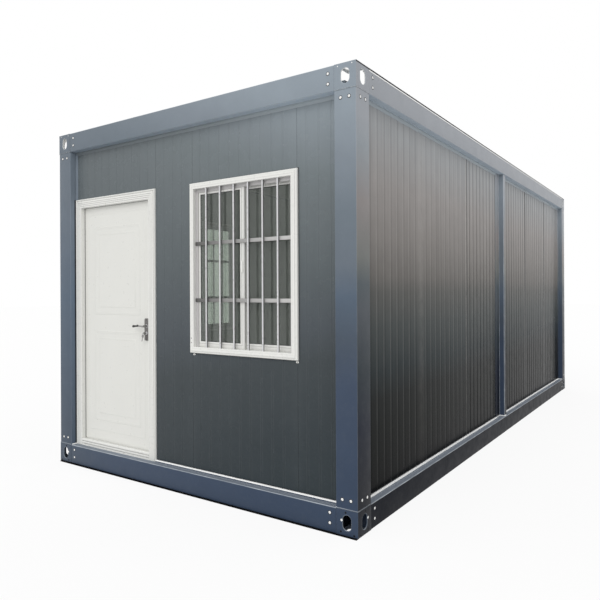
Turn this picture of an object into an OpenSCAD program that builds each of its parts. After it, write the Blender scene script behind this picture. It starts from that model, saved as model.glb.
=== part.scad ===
// Flat-pack container house: a bolted steel frame of corner fittings, posts and
// beams, with sandwich panel walls, a panelled door and barred sliding windows.
// X runs across the short walls, Y along the house with the door wall at -Y, Z up.
// The origin is on the ground under the middle of the house.

/* [Overall size] */
// Outside width over the corner fittings
width = 3000; // [2600:10:3800]
// Outside length over the corner fittings
length = 5950; // [4950:10:7400]
// Outside height, from the ground to the top of the corner fittings
height = 2800; // [2650:10:3400]

/* [Frame] */
// Edge of a corner fitting, and the face width of posts and beams
corner_size = 155; // [140:1:200]
// Plate thickness of the corner fittings
fitting_plate = 6; // [4:0.5:10]
// Sheet thickness of the rolled posts and beams
section_sheet = 4; // [2:0.5:6]
// Width of an oval lifting hole
lift_hole_width = 60; // [50:1:65]
// Length of an oval lifting hole
lift_hole_length = 92; // [80:1:105]
// Width of the bottom flange of a bottom beam
bottom_flange = 100; // [60:5:130]
// Width of the top flange of a top beam
top_flange = 45; // [30:1:60]
// Height of the gutter's inner upstand above the soffit
gutter_upstand = 100; // [60:1:110]
// Height of the rubber seal along the tops of the long top beams
seal_height = 10; // [6:1:14]

/* [Walls] */
// Thickness of a wall panel
wall_thickness = 50; // [40:1:75]
// Distance from the frame's outer face back to a wall's outer face
wall_setback = 65; // [50:1:70]
// Cover width of one wall panel
panel_module = 950; // [700:10:1200]
// Joint between neighbouring panels
panel_joint = 1; // [0.5:0.5:4]
// Height of the strip along a wall's foot
sill_height = 18; // [10:1:30]
// Depth of the strip along a wall's foot
sill_depth = 12; // [6:1:20]
// Height of the strip along a wall's head
head_height = 25; // [10:1:40]
// Depth of the strip along a wall's head
head_depth = 10; // [6:1:20]

/* [Middle posts] */
// Width of a middle post's raised rib
rib_width = 60; // [40:1:90]
// How far the rib stands out from the wall
rib_depth = 55; // [30:1:60]
// Width of each flange beside the rib
rib_flange = 120; // [60:1:150]
// Sheet thickness of a middle post
rib_sheet = 3; // [2:0.5:5]

/* [Floor] */
// How far the floor deck bears on the bottom beams inside the walls
floor_bearing = 20; // [10:1:40]
// Thickness of the floor deck
deck_thickness = 18; // [12:1:30]
// Height of a floor joist
joist_height = 100; // [60:1:130]
// Width of a floor joist's flanges
joist_width = 60; // [40:1:100]
// Largest distance between floor joists
joist_pitch = 520; // [300:10:600]

/* [Roof] */
// Clearance between a wall's inner face and the gutter's upstand
upstand_clearance = 10; // [5:1:30]
// Width of the lip that carries the ceiling
ceiling_lip = 16; // [10:1:20]
// Thickness of the ceiling board
ceiling_thickness = 12; // [6:1:20]
// Rise of the roof sheet from its edges to its ridge
roof_rise = 38; // [20:1:40]
// Thickness of the roof sheet
roof_sheet_thickness = 3; // [1:0.5:4]
// Width of a roof purlin
purlin_width = 40; // [30:1:80]
// Largest distance between roof purlins
purlin_pitch = 800; // [500:10:1200]

/* [Door] */
// Outside width of the door frame, which stands against the left front post
door_width = 1010; // [900:5:1200]
// Outside height of the door frame above the bottom beam
door_height = 2085; // [1950:5:2200]
// Face width of the door frame's jambs and head
jamb_face = 75; // [60:1:90]
// Height of the threshold's front edge
threshold_height = 55; // [40:1:70]
// How far the door frame stands out from the wall
door_proud = 15; // [5:1:30]
// Depth of the stop that the leaf closes against
stop_depth = 35; // [20:1:45]
// How far the stop laps over the leaf
stop_lap = 10; // [6:1:15]
// Gap between the closed leaf and its stop
stop_gap = 5; // [5:0.5:7]
// Thickness of the door leaf
leaf_thickness = 40; // [35:1:50]
// Gap beside the leaf at its hinges
hinge_gap = 5; // [5:0.5:8]
// Gap beside the leaf at its lock
lock_gap = 8; // [7:0.5:12]
// Gap above and below the leaf
leaf_end_gap = 6; // [5:0.5:8]

/* [Hinges] */
// Outer diameter of a hinge knuckle
knuckle_d = 16; // [12:1:20]
// Diameter of a hinge pin
hinge_pin_d = 8; // [6:0.5:10]
// Thickness of a hinge plate
hinge_plate = 5; // [4:0.5:6]
// Width of a hinge plate
hinge_plate_width = 36; // [25:1:45]
// Height of one half of a hinge
hinge_half = 48; // [35:1:60]
// Clearance round a hinge pin
pin_clearance = 0.1; // [0.05:0.05:0.2]
// Gap between the lower and upper half of a hinge
half_gap = 0.5; // [0.2:0.1:2]

/* [Lever] */
// Distance from the leaf's edge to the lever's axis
lever_backset = 70; // [60:1:85]
// Height of the lever's axis above the bottom beam
lever_height = 1028; // [900:1:1100]
// Length of the lever from its axis to its tip
lever_length = 120; // [105:1:150]
// Height of the lever's grip
lever_grip_h = 20; // [14:1:26]
// Thickness of the lever's grip
lever_grip_t = 12; // [8:1:16]
// Diameter of the lever's neck
lever_neck_d = 20; // [16:1:22]
// Diameter of the spindle through the leaf
spindle_d = 12; // [10:0.5:14]
// Clearance round the spindle
spindle_clearance = 0.1; // [0.05:0.05:0.2]
// How far the lever stands out from the leaf
lever_reach = 52; // [40:1:60]
// Width of a lock plate
lock_plate_w = 50; // [30:1:56]
// Height of a lock plate
lock_plate_h = 173; // [120:1:240]
// Thickness of a lock plate
lock_plate_t = 8; // [4:1:10]
// Distance from the lock plate's lower end to the lever's axis
lock_plate_below = 113; // [80:1:150]
// Gap between a lever's neck and its lock plate
neck_gap = 2; // [1:0.5:4]

/* [Windows] */
// Outside width of a window frame
window_width = 975; // [700:5:1050]
// Outside height of a window frame
window_height = 1226; // [800:1:1300]
// Height of a window frame's lower edge above the bottom beam
window_sill = 852; // [700:1:950]
// Distance from the right front post to the front window frame
window_from_post = 317; // [200:1:400]
// Distance of the left wall's window, at its middle, in front of the house's middle
side_window_offset = 1400; // [1100:1:1600]
// Face width of a window frame
window_face = 45; // [35:1:60]
// How far a window frame laps over the wall
window_lap = 12; // [6:1:20]
// How far a window frame stands out from the wall
window_proud = 25; // [10:1:30]
// Width of a sash rail or stile
sash_rail = 40; // [30:1:50]
// Thickness of a sash
sash_thickness = 20; // [16:1:22]
// Gap between the two sashes, and between a sash and the frame's faces
sash_gap = 2; // [1:0.5:4]
// Thickness of a pane
glass_thickness = 5; // [4:0.5:8]

/* [Hidden] */

$fn = 48;
overcut = 1;

frame_blue = [0.28, 0.33, 0.42];
panel_grey = [0.33, 0.36, 0.38];
trim_white = [0.90, 0.90, 0.88];
steel_silver = [0.72, 0.73, 0.74];
rubber_black = [0.06, 0.06, 0.06];
glass_dark = [0.22, 0.26, 0.27];
board_brown = [0.45, 0.38, 0.30];

half_w = width / 2;
half_l = length / 2;

// Faces of the posts that the walls and beams meet.
post_x = half_w - corner_size;
post_y = half_l - corner_size;
ledge_z = corner_size;
soffit_z = height - corner_size;

// Wall planes, measured as distances from the middle of the house.
wall_out_x = half_w - wall_setback;
wall_in_x = wall_out_x - wall_thickness;
wall_out_y = half_l - wall_setback;
wall_in_y = wall_out_y - wall_thickness;

// Beam sections, measured inward from the frame's outer face.
ledge_width = wall_setback + wall_thickness + floor_bearing;
upstand_in = wall_setback + wall_thickness + upstand_clearance;
soffit_width = upstand_in + section_sheet + ceiling_lip;
upstand_z = soffit_z + gutter_upstand;
ceiling_z = soffit_z + section_sheet;
ceiling_top_z = ceiling_z + ceiling_thickness;
roof_x = half_w - upstand_in;
roof_y = half_l - upstand_in;

deck_z = ledge_z;
joist_x = half_w - ledge_width;
joist_span_y = post_y - joist_width;
joist_count = ceil(2 * joist_span_y / joist_pitch) + 1;
purlin_span_y = post_y - purlin_width * 4;
purlin_count = ceil(2 * purlin_span_y / purlin_pitch) + 1;

// Panels run from the middle post in whole modules, and the last one fills the rest.
shortest_panel = panel_module / 4;
panel_run = post_y - rib_width / 2;
whole_panels = floor((panel_run - shortest_panel) / panel_module);
panel_edges = concat(
    [0],
    [for (k = [1 : whole_panels]) rib_width / 2 + k * panel_module],
    [post_y]
);
rear_columns = ceil(2 * post_x / panel_module);

// Door: outer planes of the frame, its clear opening and the closed leaf.
door_x0 = -post_x;
door_x1 = door_x0 + door_width;
door_top = ledge_z + door_height;
door_face_y = -wall_out_y - door_proud;
stop_back_y = door_face_y + stop_depth;
leaf_front_y = stop_back_y + stop_gap;
leaf_back_y = leaf_front_y + leaf_thickness;
clear_x0 = door_x0 + jamb_face;
clear_x1 = door_x1 - jamb_face;
clear_z0 = ledge_z + threshold_height;
clear_z1 = door_top - jamb_face;
leaf_x0 = clear_x0 - stop_lap;
leaf_x1 = clear_x1 + stop_lap;
leaf_z0 = clear_z0 - stop_lap;
leaf_z1 = clear_z1 + stop_lap;

// Hinges: the axis stands behind the gap between jamb and leaf.
hinge_x = leaf_x0 - hinge_gap;
hinge_overlap = 2;
hinge_y = leaf_back_y + hinge_plate + knuckle_d / 2 - hinge_overlap;
hinge_split = 1;
hinge_from_end = 200;
hinge_levels = [
    leaf_z0 + hinge_from_end,
    (leaf_z0 + leaf_z1) / 2,
    leaf_z1 - hinge_from_end
];

// Lever: its axis runs through the leaf along Y.
lever_x = leaf_x1 - lever_backset;
lever_z = ledge_z + lever_height;

// Windows: opening in the wall, clear opening in the frame and the sash tracks.
window_z0 = ledge_z + window_sill;
window_x1 = post_x - window_from_post;
window_x0 = window_x1 - window_width;
window_cut = window_width - 2 * window_lap;
window_cut_z0 = window_z0 + window_lap;
window_cut_z1 = window_z0 + window_height - window_lap;
sash_w = (window_width - 2 * window_face + sash_rail) / 2;
sash_h = window_height - 2 * window_face;

// ---- Shared shapes ----

// A box between two opposite corners.
module block(low, high) {
    translate(low) cube(high - low);
}

// An oval with its length along Y, in the XY plane.
module oval(oval_width, oval_length) {
    square([oval_width, oval_length - oval_width], center = true);
    for (end = [-1, 1])
        translate([0, end * (oval_length - oval_width) / 2]) circle(d = oval_width);
}

// Moves a shape from the corner at the low X and low Y to another corner.
module at_corner(side_x, side_y) {
    mirror([side_x > 0 ? 1 : 0, 0, 0])
        mirror([0, side_y > 0 ? 1 : 0, 0])
            translate([-half_w, -half_l, 0]) children();
}

// Extrudes a section along Y; its X runs inward from the left frame face and its Y up.
module along_side(side_x) {
    mirror([side_x > 0 ? 1 : 0, 0, 0])
        translate([-half_w, 0, 0])
            rotate([90, 0, 0])
                linear_extrude(height = 2 * post_y, center = true) children();
}

// Extrudes a section along X; its X runs inward from the front frame face and its Y up.
module along_end(side_y) {
    mirror([0, side_y > 0 ? 1 : 0, 0])
        translate([0, -half_l, 0])
            rotate([90, 0, 90])
                linear_extrude(height = 2 * post_x, center = true) children();
}

// A slab in plan whose corners are notched round the four posts.
module notched_slab(slab_x, slab_y, low_z, thickness) {
    block([-slab_x, -post_y, low_z], [slab_x, post_y, low_z + thickness]);
    block([-post_x, -slab_y, low_z], [post_x, slab_y, low_z + thickness]);
}

// ---- Frame ----

// One fitting: a welded box of plates, with a hole in each outer face and in its end.
module fitting(is_top) {
    end_z = is_top ? corner_size - fitting_plate : 0;
    middle = corner_size / 2;
    difference() {
        cube(corner_size);
        translate([fitting_plate, fitting_plate, fitting_plate])
            cube(corner_size - 2 * fitting_plate);
        translate([-overcut, middle, middle])
            rotate([90, 0, 90])
                linear_extrude(height = fitting_plate + 2 * overcut)
                    oval(lift_hole_width, lift_hole_length);
        translate([middle, fitting_plate + overcut, middle])
            rotate([90, 0, 0])
                linear_extrude(height = fitting_plate + 2 * overcut)
                    oval(lift_hole_width, lift_hole_length);
        translate([middle, middle, end_z - overcut])
            rotate([0, 0, 90])
                linear_extrude(height = fitting_plate + 2 * overcut)
                    oval(lift_hole_width, lift_hole_length);
    }
}

module bottom_corner(side_x, side_y) {
    color(frame_blue) at_corner(side_x, side_y) fitting(false);
}

module top_corner(side_x, side_y) {
    color(frame_blue) at_corner(side_x, side_y)
        translate([0, 0, soffit_z]) fitting(true);
}

// Bottom beam: a channel open inward, whose top flange carries the wall and the deck.
module bottom_section() {
    square([section_sheet, corner_size]);
    square([bottom_flange, section_sheet]);
    translate([0, corner_size - section_sheet]) square([ledge_width, section_sheet]);
}

// Top beam: outer web and top flange, a soffit over the wall and a gutter upstand.
module top_section(beam_height) {
    square([section_sheet, beam_height]);
    square([soffit_width, section_sheet]);
    translate([upstand_in, 0]) square([section_sheet, gutter_upstand]);
    translate([0, beam_height - section_sheet]) square([top_flange, section_sheet]);
}

module bottom_side_beam(side_x) {
    color(frame_blue) along_side(side_x) bottom_section();
}

module bottom_end_beam(side_y) {
    color(frame_blue) along_end(side_y) bottom_section();
}

module top_side_beam(side_x) {
    color(frame_blue) translate([0, 0, soffit_z])
        along_side(side_x) top_section(corner_size - seal_height);
}

module top_end_beam(side_y) {
    color(frame_blue) translate([0, 0, soffit_z])
        along_end(side_y) top_section(corner_size);
}

// Corner post: a square tube between the seats of two fittings.
module corner_post(side_x, side_y) {
    color(frame_blue) at_corner(side_x, side_y)
        translate([0, 0, ledge_z])
            linear_extrude(height = soffit_z - ledge_z)
                difference() {
                    square(corner_size);
                    translate([section_sheet, section_sheet])
                        square(corner_size - 2 * section_sheet);
                }
}

// Middle posts: a hat-shaped cover over the panel joint at the middle of each long wall.
module middle_posts() {
    color(frame_blue)
        for (side = [0, 1])
            mirror([side, 0, 0])
                translate([wall_out_x, 0, ledge_z])
                    linear_extrude(height = soffit_z - ledge_z) {
                        translate([rib_depth - rib_sheet, -rib_width / 2])
                            square([rib_sheet, rib_width]);
                        for (flip = [0, 1])
                            mirror([0, flip]) {
                                translate([0, rib_width / 2 - rib_sheet])
                                    square([rib_depth, rib_sheet]);
                                translate([0, rib_width / 2 - rib_sheet])
                                    square([rib_sheet, rib_flange + rib_sheet]);
                            }
                    }
}

// ---- Floor and roof ----

// Floor joists: I sections whose ends are notched under the side beams' top flanges.
module floor_joists() {
    low_z = ledge_z - joist_height;
    web_end_x = half_w - section_sheet;
    step = 2 * joist_span_y / (joist_count - 1);
    color(frame_blue)
        for (k = [0 : joist_count - 1])
            translate([0, -joist_span_y + k * step, 0]) {
                block([-joist_x, -joist_width / 2, ledge_z - section_sheet],
                      [joist_x, joist_width / 2, ledge_z]);
                block([-web_end_x, -section_sheet / 2, low_z],
                      [web_end_x, section_sheet / 2, ledge_z - section_sheet]);
                block([-web_end_x, -joist_width / 2, low_z],
                      [web_end_x, joist_width / 2, low_z + section_sheet]);
            }
}

module floor_deck() {
    color(board_brown)
        difference() {
            notched_slab(wall_in_x, wall_in_y, deck_z, deck_thickness);
            block([door_x0, -wall_in_y - overcut, deck_z - overcut],
                  [door_x1, leaf_back_y, deck_z + deck_thickness + overcut]);
        }
}

module ceiling() {
    inset = upstand_in + section_sheet;
    color(trim_white)
        notched_slab(half_w - inset, half_l - inset, ceiling_z, ceiling_thickness);
}

// Height of the roof sheet's underside at a distance x from the ridge.
function roof_under(x) = upstand_z + roof_rise * (1 - abs(x) / roof_x);

module roof_purlins() {
    end_x = roof_x - section_sheet;
    step = 2 * purlin_span_y / (purlin_count - 1);
    color(frame_blue)
        for (k = [0 : purlin_count - 1])
            translate([0, -purlin_span_y + k * step, 0])
                rotate([90, 0, 0])
                    linear_extrude(height = purlin_width, center = true)
                        polygon([
                            [-end_x, ceiling_top_z], [end_x, ceiling_top_z],
                            [end_x, roof_under(end_x)], [0, roof_under(0)],
                            [-end_x, roof_under(end_x)]
                        ]);
}

// Roof sheet: a low crowned sheet on the gutter upstands, closed at its two ends and
// notched round the four fittings.
module roof_sheet() {
    color(frame_blue)
        difference() {
            union() {
                rotate([90, 0, 0])
                    linear_extrude(height = 2 * roof_y, center = true)
                        polygon([
                            [-roof_x, upstand_z], [0, roof_under(0)], [roof_x, upstand_z],
                            [roof_x, upstand_z + roof_sheet_thickness],
                            [0, roof_under(0) + roof_sheet_thickness],
                            [-roof_x, upstand_z + roof_sheet_thickness]
                        ]);
                for (flip = [0, 1])
                    mirror([0, flip, 0])
                        translate([0, -roof_y + roof_sheet_thickness, 0])
                            rotate([90, 0, 0])
                                linear_extrude(height = roof_sheet_thickness)
                                    polygon([
                                        [-roof_x, upstand_z], [roof_x, upstand_z],
                                        [roof_x, upstand_z + roof_sheet_thickness],
                                        [0, roof_under(0) + roof_sheet_thickness],
                                        [-roof_x, upstand_z + roof_sheet_thickness]
                                    ]);
            }
            for (side_x = [-1, 1])
                for (side_y = [-1, 1])
                    at_corner(side_x, side_y)
                        translate([0, 0, upstand_z - overcut])
                            cube([corner_size, corner_size, height - upstand_z]);
        }
}

module roof_edge_seals() {
    color(rubber_black)
        for (flip = [0, 1])
            mirror([flip, 0, 0])
                block([half_w - top_flange, -post_y, height - seal_height],
                      [half_w, post_y, height]);
}

// ---- Walls ----

// A panel of a long wall on the +X side, between two distances along Y.
module side_panel(y0, y1, z0 = ledge_z, z1 = soffit_z) {
    block([wall_in_x, y0, z0], [wall_out_x, y1, z1]);
}

// A panel of a short wall on the -Y side, between two distances along X.
module end_panel(x0, x1, z0 = ledge_z, z1 = soffit_z) {
    block([x0, -wall_out_y, z0], [x1, -wall_in_y, z1]);
}

// Half of a long wall on the +X side, from the middle towards +Y, in whole panels.
module side_wall_half() {
    last = len(panel_edges) - 1;
    for (k = [0 : last - 1])
        side_panel(panel_edges[k] + panel_joint / 2,
                   panel_edges[k + 1] - (k + 1 < last ? panel_joint / 2 : 0));
}

module right_wall_front() {
    color(panel_grey) mirror([0, 1, 0]) side_wall_half();
}

module right_wall_rear() {
    color(panel_grey) side_wall_half();
}

module left_wall_rear() {
    color(panel_grey) mirror([1, 0, 0]) side_wall_half();
}

// The left wall's front half: panels before and behind the window, below and above it.
module left_wall_front() {
    cut0 = -side_window_offset - window_cut / 2;
    cut1 = -side_window_offset + window_cut / 2;
    color(panel_grey) mirror([1, 0, 0]) {
        side_panel(-post_y, cut0 - panel_joint);
        side_panel(cut0, cut1, ledge_z, window_cut_z0);
        side_panel(cut0, cut1, window_cut_z1, soffit_z);
        side_panel(cut1 + panel_joint, -panel_joint / 2);
    }
}

// The front wall: over the door, between door and window, below, above and beside the window.
module front_wall() {
    cut0 = window_x0 + window_lap;
    cut1 = window_x1 - window_lap;
    color(panel_grey) {
        end_panel(door_x0, door_x1, door_top, soffit_z);
        end_panel(door_x1 + panel_joint, cut0 - panel_joint);
        end_panel(cut0, cut1, ledge_z, window_cut_z0);
        end_panel(cut0, cut1, window_cut_z1, soffit_z);
        end_panel(cut1 + panel_joint, post_x);
    }
}

module rear_wall() {
    step = 2 * post_x / rear_columns;
    color(panel_grey) mirror([0, 1, 0])
        for (k = [0 : rear_columns - 1])
            end_panel(-post_x + k * step + (k > 0 ? panel_joint / 2 : 0),
                      -post_x + (k + 1) * step - (k + 1 < rear_columns ? panel_joint / 2 : 0));
}

// A strip on the outer face of a long wall's half, between the corner and the middle post.
module side_strip(z0, z1, depth) {
    block([wall_out_x, rib_width / 2 + rib_flange, z0], [wall_out_x + depth, post_y, z1]);
}

module strips_round(z0, z1, depth, front_x0) {
    for (flip_x = [0, 1], flip_y = [0, 1])
        mirror([flip_x, 0, 0]) mirror([0, flip_y, 0]) side_strip(z0, z1, depth);
    block([front_x0, -wall_out_y - depth, z0], [post_x, -wall_out_y, z1]);
    block([-post_x, wall_out_y, z0], [post_x, wall_out_y + depth, z1]);
}

module sill_strips() {
    color(trim_white) strips_round(ledge_z, ledge_z + sill_height, sill_depth, door_x1);
}

module head_strips() {
    color(panel_grey) strips_round(soffit_z - head_height, soffit_z, head_depth, -post_x);
}

// ---- Door ----

// The frame in front view: two jambs and a head round an opening, over a threshold.
module door_ring(x0, x1, z0, z1) {
    difference() {
        translate([door_x0, ledge_z]) square([door_width, door_height]);
        translate([x0, z0]) square([x1 - x0, z1 - z0]);
    }
}

// Frame: a stop ring in front and a wider rebate behind it that takes the leaf.
module door_frame() {
    color(trim_white) {
        translate([0, stop_back_y, 0]) rotate([90, 0, 0])
            linear_extrude(height = stop_depth)
                door_ring(clear_x0, clear_x1, clear_z0, clear_z1);
        translate([0, leaf_back_y, 0]) rotate([90, 0, 0])
            linear_extrude(height = leaf_back_y - stop_back_y)
                door_ring(leaf_x0 - hinge_gap, leaf_x1 + lock_gap,
                          leaf_z0 - leaf_end_gap, leaf_z1 + leaf_end_gap);
    }
}

module door_leaf() {
    color(trim_white)
        difference() {
            block([leaf_x0, leaf_front_y, leaf_z0], [leaf_x1, leaf_back_y, leaf_z1]);
            spindle_bore(leaf_front_y, leaf_back_y);
        }
}

module spindle_bore(y0, y1) {
    translate([lever_x, y1 + overcut, lever_z]) rotate([90, 0, 0])
        cylinder(d = spindle_d + 2 * spindle_clearance, h = y1 - y0 + 2 * overcut);
}

// Fixed halves of the hinges: a plate on the jamb, a lower knuckle and the pin.
module door_hinge_pins() {
    color(steel_silver)
        for (level = hinge_levels) {
            block([hinge_x - hinge_split - hinge_plate_width, leaf_back_y, level - hinge_half],
                  [hinge_x - hinge_split, leaf_back_y + hinge_plate, level]);
            translate([hinge_x, hinge_y, level - hinge_half])
                cylinder(d = knuckle_d, h = hinge_half);
            translate([hinge_x, hinge_y, level - overcut])
                cylinder(d = hinge_pin_d, h = hinge_half + overcut);
        }
}

// Moving halves of the hinges: a plate on the leaf and a bored upper knuckle.
module door_hinge_knuckles() {
    color(steel_silver)
        for (level = hinge_levels)
            difference() {
                union() {
                    block([hinge_x + hinge_split, leaf_back_y, level + half_gap],
                          [hinge_x + hinge_split + hinge_plate_width,
                           leaf_back_y + hinge_plate, level + hinge_half]);
                    translate([hinge_x, hinge_y, level + half_gap])
                        cylinder(d = knuckle_d, h = hinge_half - half_gap);
                }
                translate([hinge_x, hinge_y, level - overcut])
                    cylinder(d = hinge_pin_d + 2 * pin_clearance,
                             h = hinge_half + 2 * overcut);
            }
}

module lock_plate(y0, y1) {
    low_z = lever_z - lock_plate_below;
    difference() {
        block([lever_x - lock_plate_w / 2, y0, low_z],
              [lever_x + lock_plate_w / 2, y1, low_z + lock_plate_h]);
        spindle_bore(y0, y1);
    }
}

module door_lock_plates() {
    color(steel_silver) {
        lock_plate(leaf_front_y - lock_plate_t, leaf_front_y);
        lock_plate(leaf_back_y, leaf_back_y + lock_plate_t);
    }
}

// One grip and its neck, for the side whose leaf face is at Y = 0 with -Y outward.
module lever_handle() {
    neck_from = lock_plate_t + neck_gap;
    translate([0, -neck_from, 0]) rotate([90, 0, 0])
        cylinder(d = lever_neck_d, h = lever_reach - neck_from);
    block([-lever_length, -lever_reach, -lever_grip_h / 2],
          [0, lever_grip_t - lever_reach, lever_grip_h / 2]);
}

module door_lever() {
    color(steel_silver)
        translate([lever_x, 0, lever_z]) {
            translate([0, leaf_front_y, 0]) lever_handle();
            translate([0, leaf_back_y, 0]) mirror([0, 1, 0]) lever_handle();
            translate([0, leaf_back_y + lever_reach, 0]) rotate([90, 0, 0])
                cylinder(d = spindle_d, h = leaf_thickness + 2 * lever_reach);
        }
}

// ---- Windows ----
// A window is drawn in its own frame: X along the wall from the frame's edge, Y inward
// from the wall's outer face, Z up from the frame's lower edge.

module on_front_wall() {
    translate([window_x0, -wall_out_y, window_z0]) children();
}

module on_left_wall() {
    translate([-wall_out_x, -side_window_offset + window_width / 2, window_z0])
        rotate([0, 0, -90]) children();
}

// A flat ring in front view, extruded from y0 to y1.
module ring(x0, z0, ring_w, ring_h, rail, y0, y1) {
    translate([x0, y1, z0]) rotate([90, 0, 0])
        linear_extrude(height = y1 - y0)
            difference() {
                square([ring_w, ring_h]);
                translate([rail, rail]) square([ring_w - 2 * rail, ring_h - 2 * rail]);
            }
}

// Frame: a face on the wall and a lining through it.
module window_frame() {
    ring(0, 0, window_width, window_height, window_face, -window_proud, 0);
    ring(window_lap, window_lap, window_cut, window_height - 2 * window_lap,
         window_face - window_lap, 0, wall_thickness);
}

// Depths of the two sash tracks, the outer one first.
function sash_y(track) = wall_thickness - sash_gap - (2 - track) * sash_thickness
    - (1 - track) * sash_gap;

module window_sash(track) {
    ring(window_face + track * (sash_w - sash_rail), window_face, sash_w, sash_h, sash_rail,
         sash_y(track), sash_y(track) + sash_thickness);
}

module window_pane(track) {
    pane_y = sash_y(track) + (sash_thickness - glass_thickness) / 2;
    pane_x = window_face + track * (sash_w - sash_rail) + sash_rail;
    pane_z = window_face + sash_rail;
    block([pane_x, pane_y, pane_z],
          [pane_x + sash_w - 2 * sash_rail, pane_y + glass_thickness,
           pane_z + sash_h - 2 * sash_rail]);
}

module front_window_frame() {
    color(trim_white) on_front_wall() window_frame();
}

module left_window_frame() {
    color(trim_white) on_left_wall() window_frame();
}

module window_sashes() {
    color(trim_white)
        for (track = [0, 1]) {
            on_front_wall() window_sash(track);
            on_left_wall() window_sash(track);
        }
}

module window_panes() {
    color(glass_dark)
        for (track = [0, 1]) {
            on_front_wall() window_pane(track);
            on_left_wall() window_pane(track);
        }
}

// ---- Pieces ----
bottom_corner(-1, -1);  // bottom_corner_front_left
bottom_corner(1, -1);  // bottom_corner_front_right
bottom_corner(-1, 1);  // bottom_corner_rear_left
bottom_corner(1, 1);  // bottom_corner_rear_right
top_corner(-1, -1);  // top_corner_front_left
top_corner(1, -1);  // top_corner_front_right
top_corner(-1, 1);  // top_corner_rear_left
top_corner(1, 1);  // top_corner_rear_right
bottom_end_beam(-1);  // bottom_beam_front
bottom_end_beam(1);  // bottom_beam_rear
bottom_side_beam(-1);  // bottom_beam_left
bottom_side_beam(1);  // bottom_beam_right
top_end_beam(-1);  // top_beam_front
top_end_beam(1);  // top_beam_rear
top_side_beam(-1);  // top_beam_left
top_side_beam(1);  // top_beam_right
corner_post(-1, -1);  // post_front_left
corner_post(1, -1);  // post_front_right
corner_post(-1, 1);  // post_rear_left
corner_post(1, 1);  // post_rear_right
middle_posts();
floor_joists();
floor_deck();
ceiling();
roof_purlins();
roof_sheet();
front_wall();
rear_wall();
right_wall_front();
right_wall_rear();
left_wall_front();
left_wall_rear();
sill_strips();
head_strips();
roof_edge_seals();
door_frame();
door_hinge_pins();
door_leaf();
door_hinge_knuckles();
door_lock_plates();
door_lever();
front_window_frame();
left_window_frame();
window_sashes();
window_panes();
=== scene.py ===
"""Looks of a flat-pack container house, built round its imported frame.

Every class holds one sub-assembly's sizes, builds its meshes as numpy surfaces and dresses
them. Lengths are in metres: X runs across the short walls, Y along the house and Z up, with
the door wall at -Y.
"""

import logging
import math
from dataclasses import dataclass, field, replace
from enum import Enum

import bmesh
import bpy
import numpy as np
from mathutils import Matrix, Vector


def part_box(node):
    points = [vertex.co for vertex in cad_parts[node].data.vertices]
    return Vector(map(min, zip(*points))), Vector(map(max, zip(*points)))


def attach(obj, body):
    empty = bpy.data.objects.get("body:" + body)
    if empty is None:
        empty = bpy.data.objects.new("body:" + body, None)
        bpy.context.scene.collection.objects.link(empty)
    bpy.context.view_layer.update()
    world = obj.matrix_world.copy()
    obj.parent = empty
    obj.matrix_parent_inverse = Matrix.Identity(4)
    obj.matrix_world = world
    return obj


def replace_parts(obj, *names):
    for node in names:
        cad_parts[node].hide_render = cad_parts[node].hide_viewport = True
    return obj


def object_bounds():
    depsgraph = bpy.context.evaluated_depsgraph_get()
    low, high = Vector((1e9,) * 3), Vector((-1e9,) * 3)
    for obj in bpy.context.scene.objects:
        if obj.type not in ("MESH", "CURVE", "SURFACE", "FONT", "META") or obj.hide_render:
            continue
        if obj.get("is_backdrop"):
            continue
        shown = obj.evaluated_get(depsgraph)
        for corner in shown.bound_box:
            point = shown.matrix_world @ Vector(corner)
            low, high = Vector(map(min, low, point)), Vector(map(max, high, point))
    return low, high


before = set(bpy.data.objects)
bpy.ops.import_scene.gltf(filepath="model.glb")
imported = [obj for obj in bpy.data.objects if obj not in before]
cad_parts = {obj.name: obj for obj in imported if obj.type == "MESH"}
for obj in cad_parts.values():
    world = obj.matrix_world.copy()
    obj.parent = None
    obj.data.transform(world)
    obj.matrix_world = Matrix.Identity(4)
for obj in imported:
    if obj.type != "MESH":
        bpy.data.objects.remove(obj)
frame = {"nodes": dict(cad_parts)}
CAD_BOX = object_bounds()
LOG = logging.getLogger("container_house")
Array = np.ndarray
Material = bpy.types.Material
Socket = bpy.types.NodeSocket
AXIS_X, AXIS_Y, UP = np.eye(3)
MERGE = 1e-6


# ---- places

class Body(Enum):
    """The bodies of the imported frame."""

    HOUSE = "house"
    DOOR = "door"
    LEVER = "lever"


@dataclass(frozen=True)
class Box:
    """An axis-aligned box, as the two opposite corners of a solid."""

    low: Array
    high: Array

    @classmethod
    def between(cls, corners: tuple) -> "Box":
        """Returns the box between two opposite corners."""
        return cls(*(np.array(corner, float) for corner in corners))

    @classmethod
    def of(cls, node: str) -> "Box":
        """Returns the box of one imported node."""
        return cls.between(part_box(node))

    @property
    def centre(self) -> Array:
        """The middle of the box."""
        return (self.low + self.high) / 2

    @property
    def size(self) -> Array:
        """The box's three edge lengths."""
        return self.high - self.low


HOUSE = Box.between(CAD_BOX)


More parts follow.
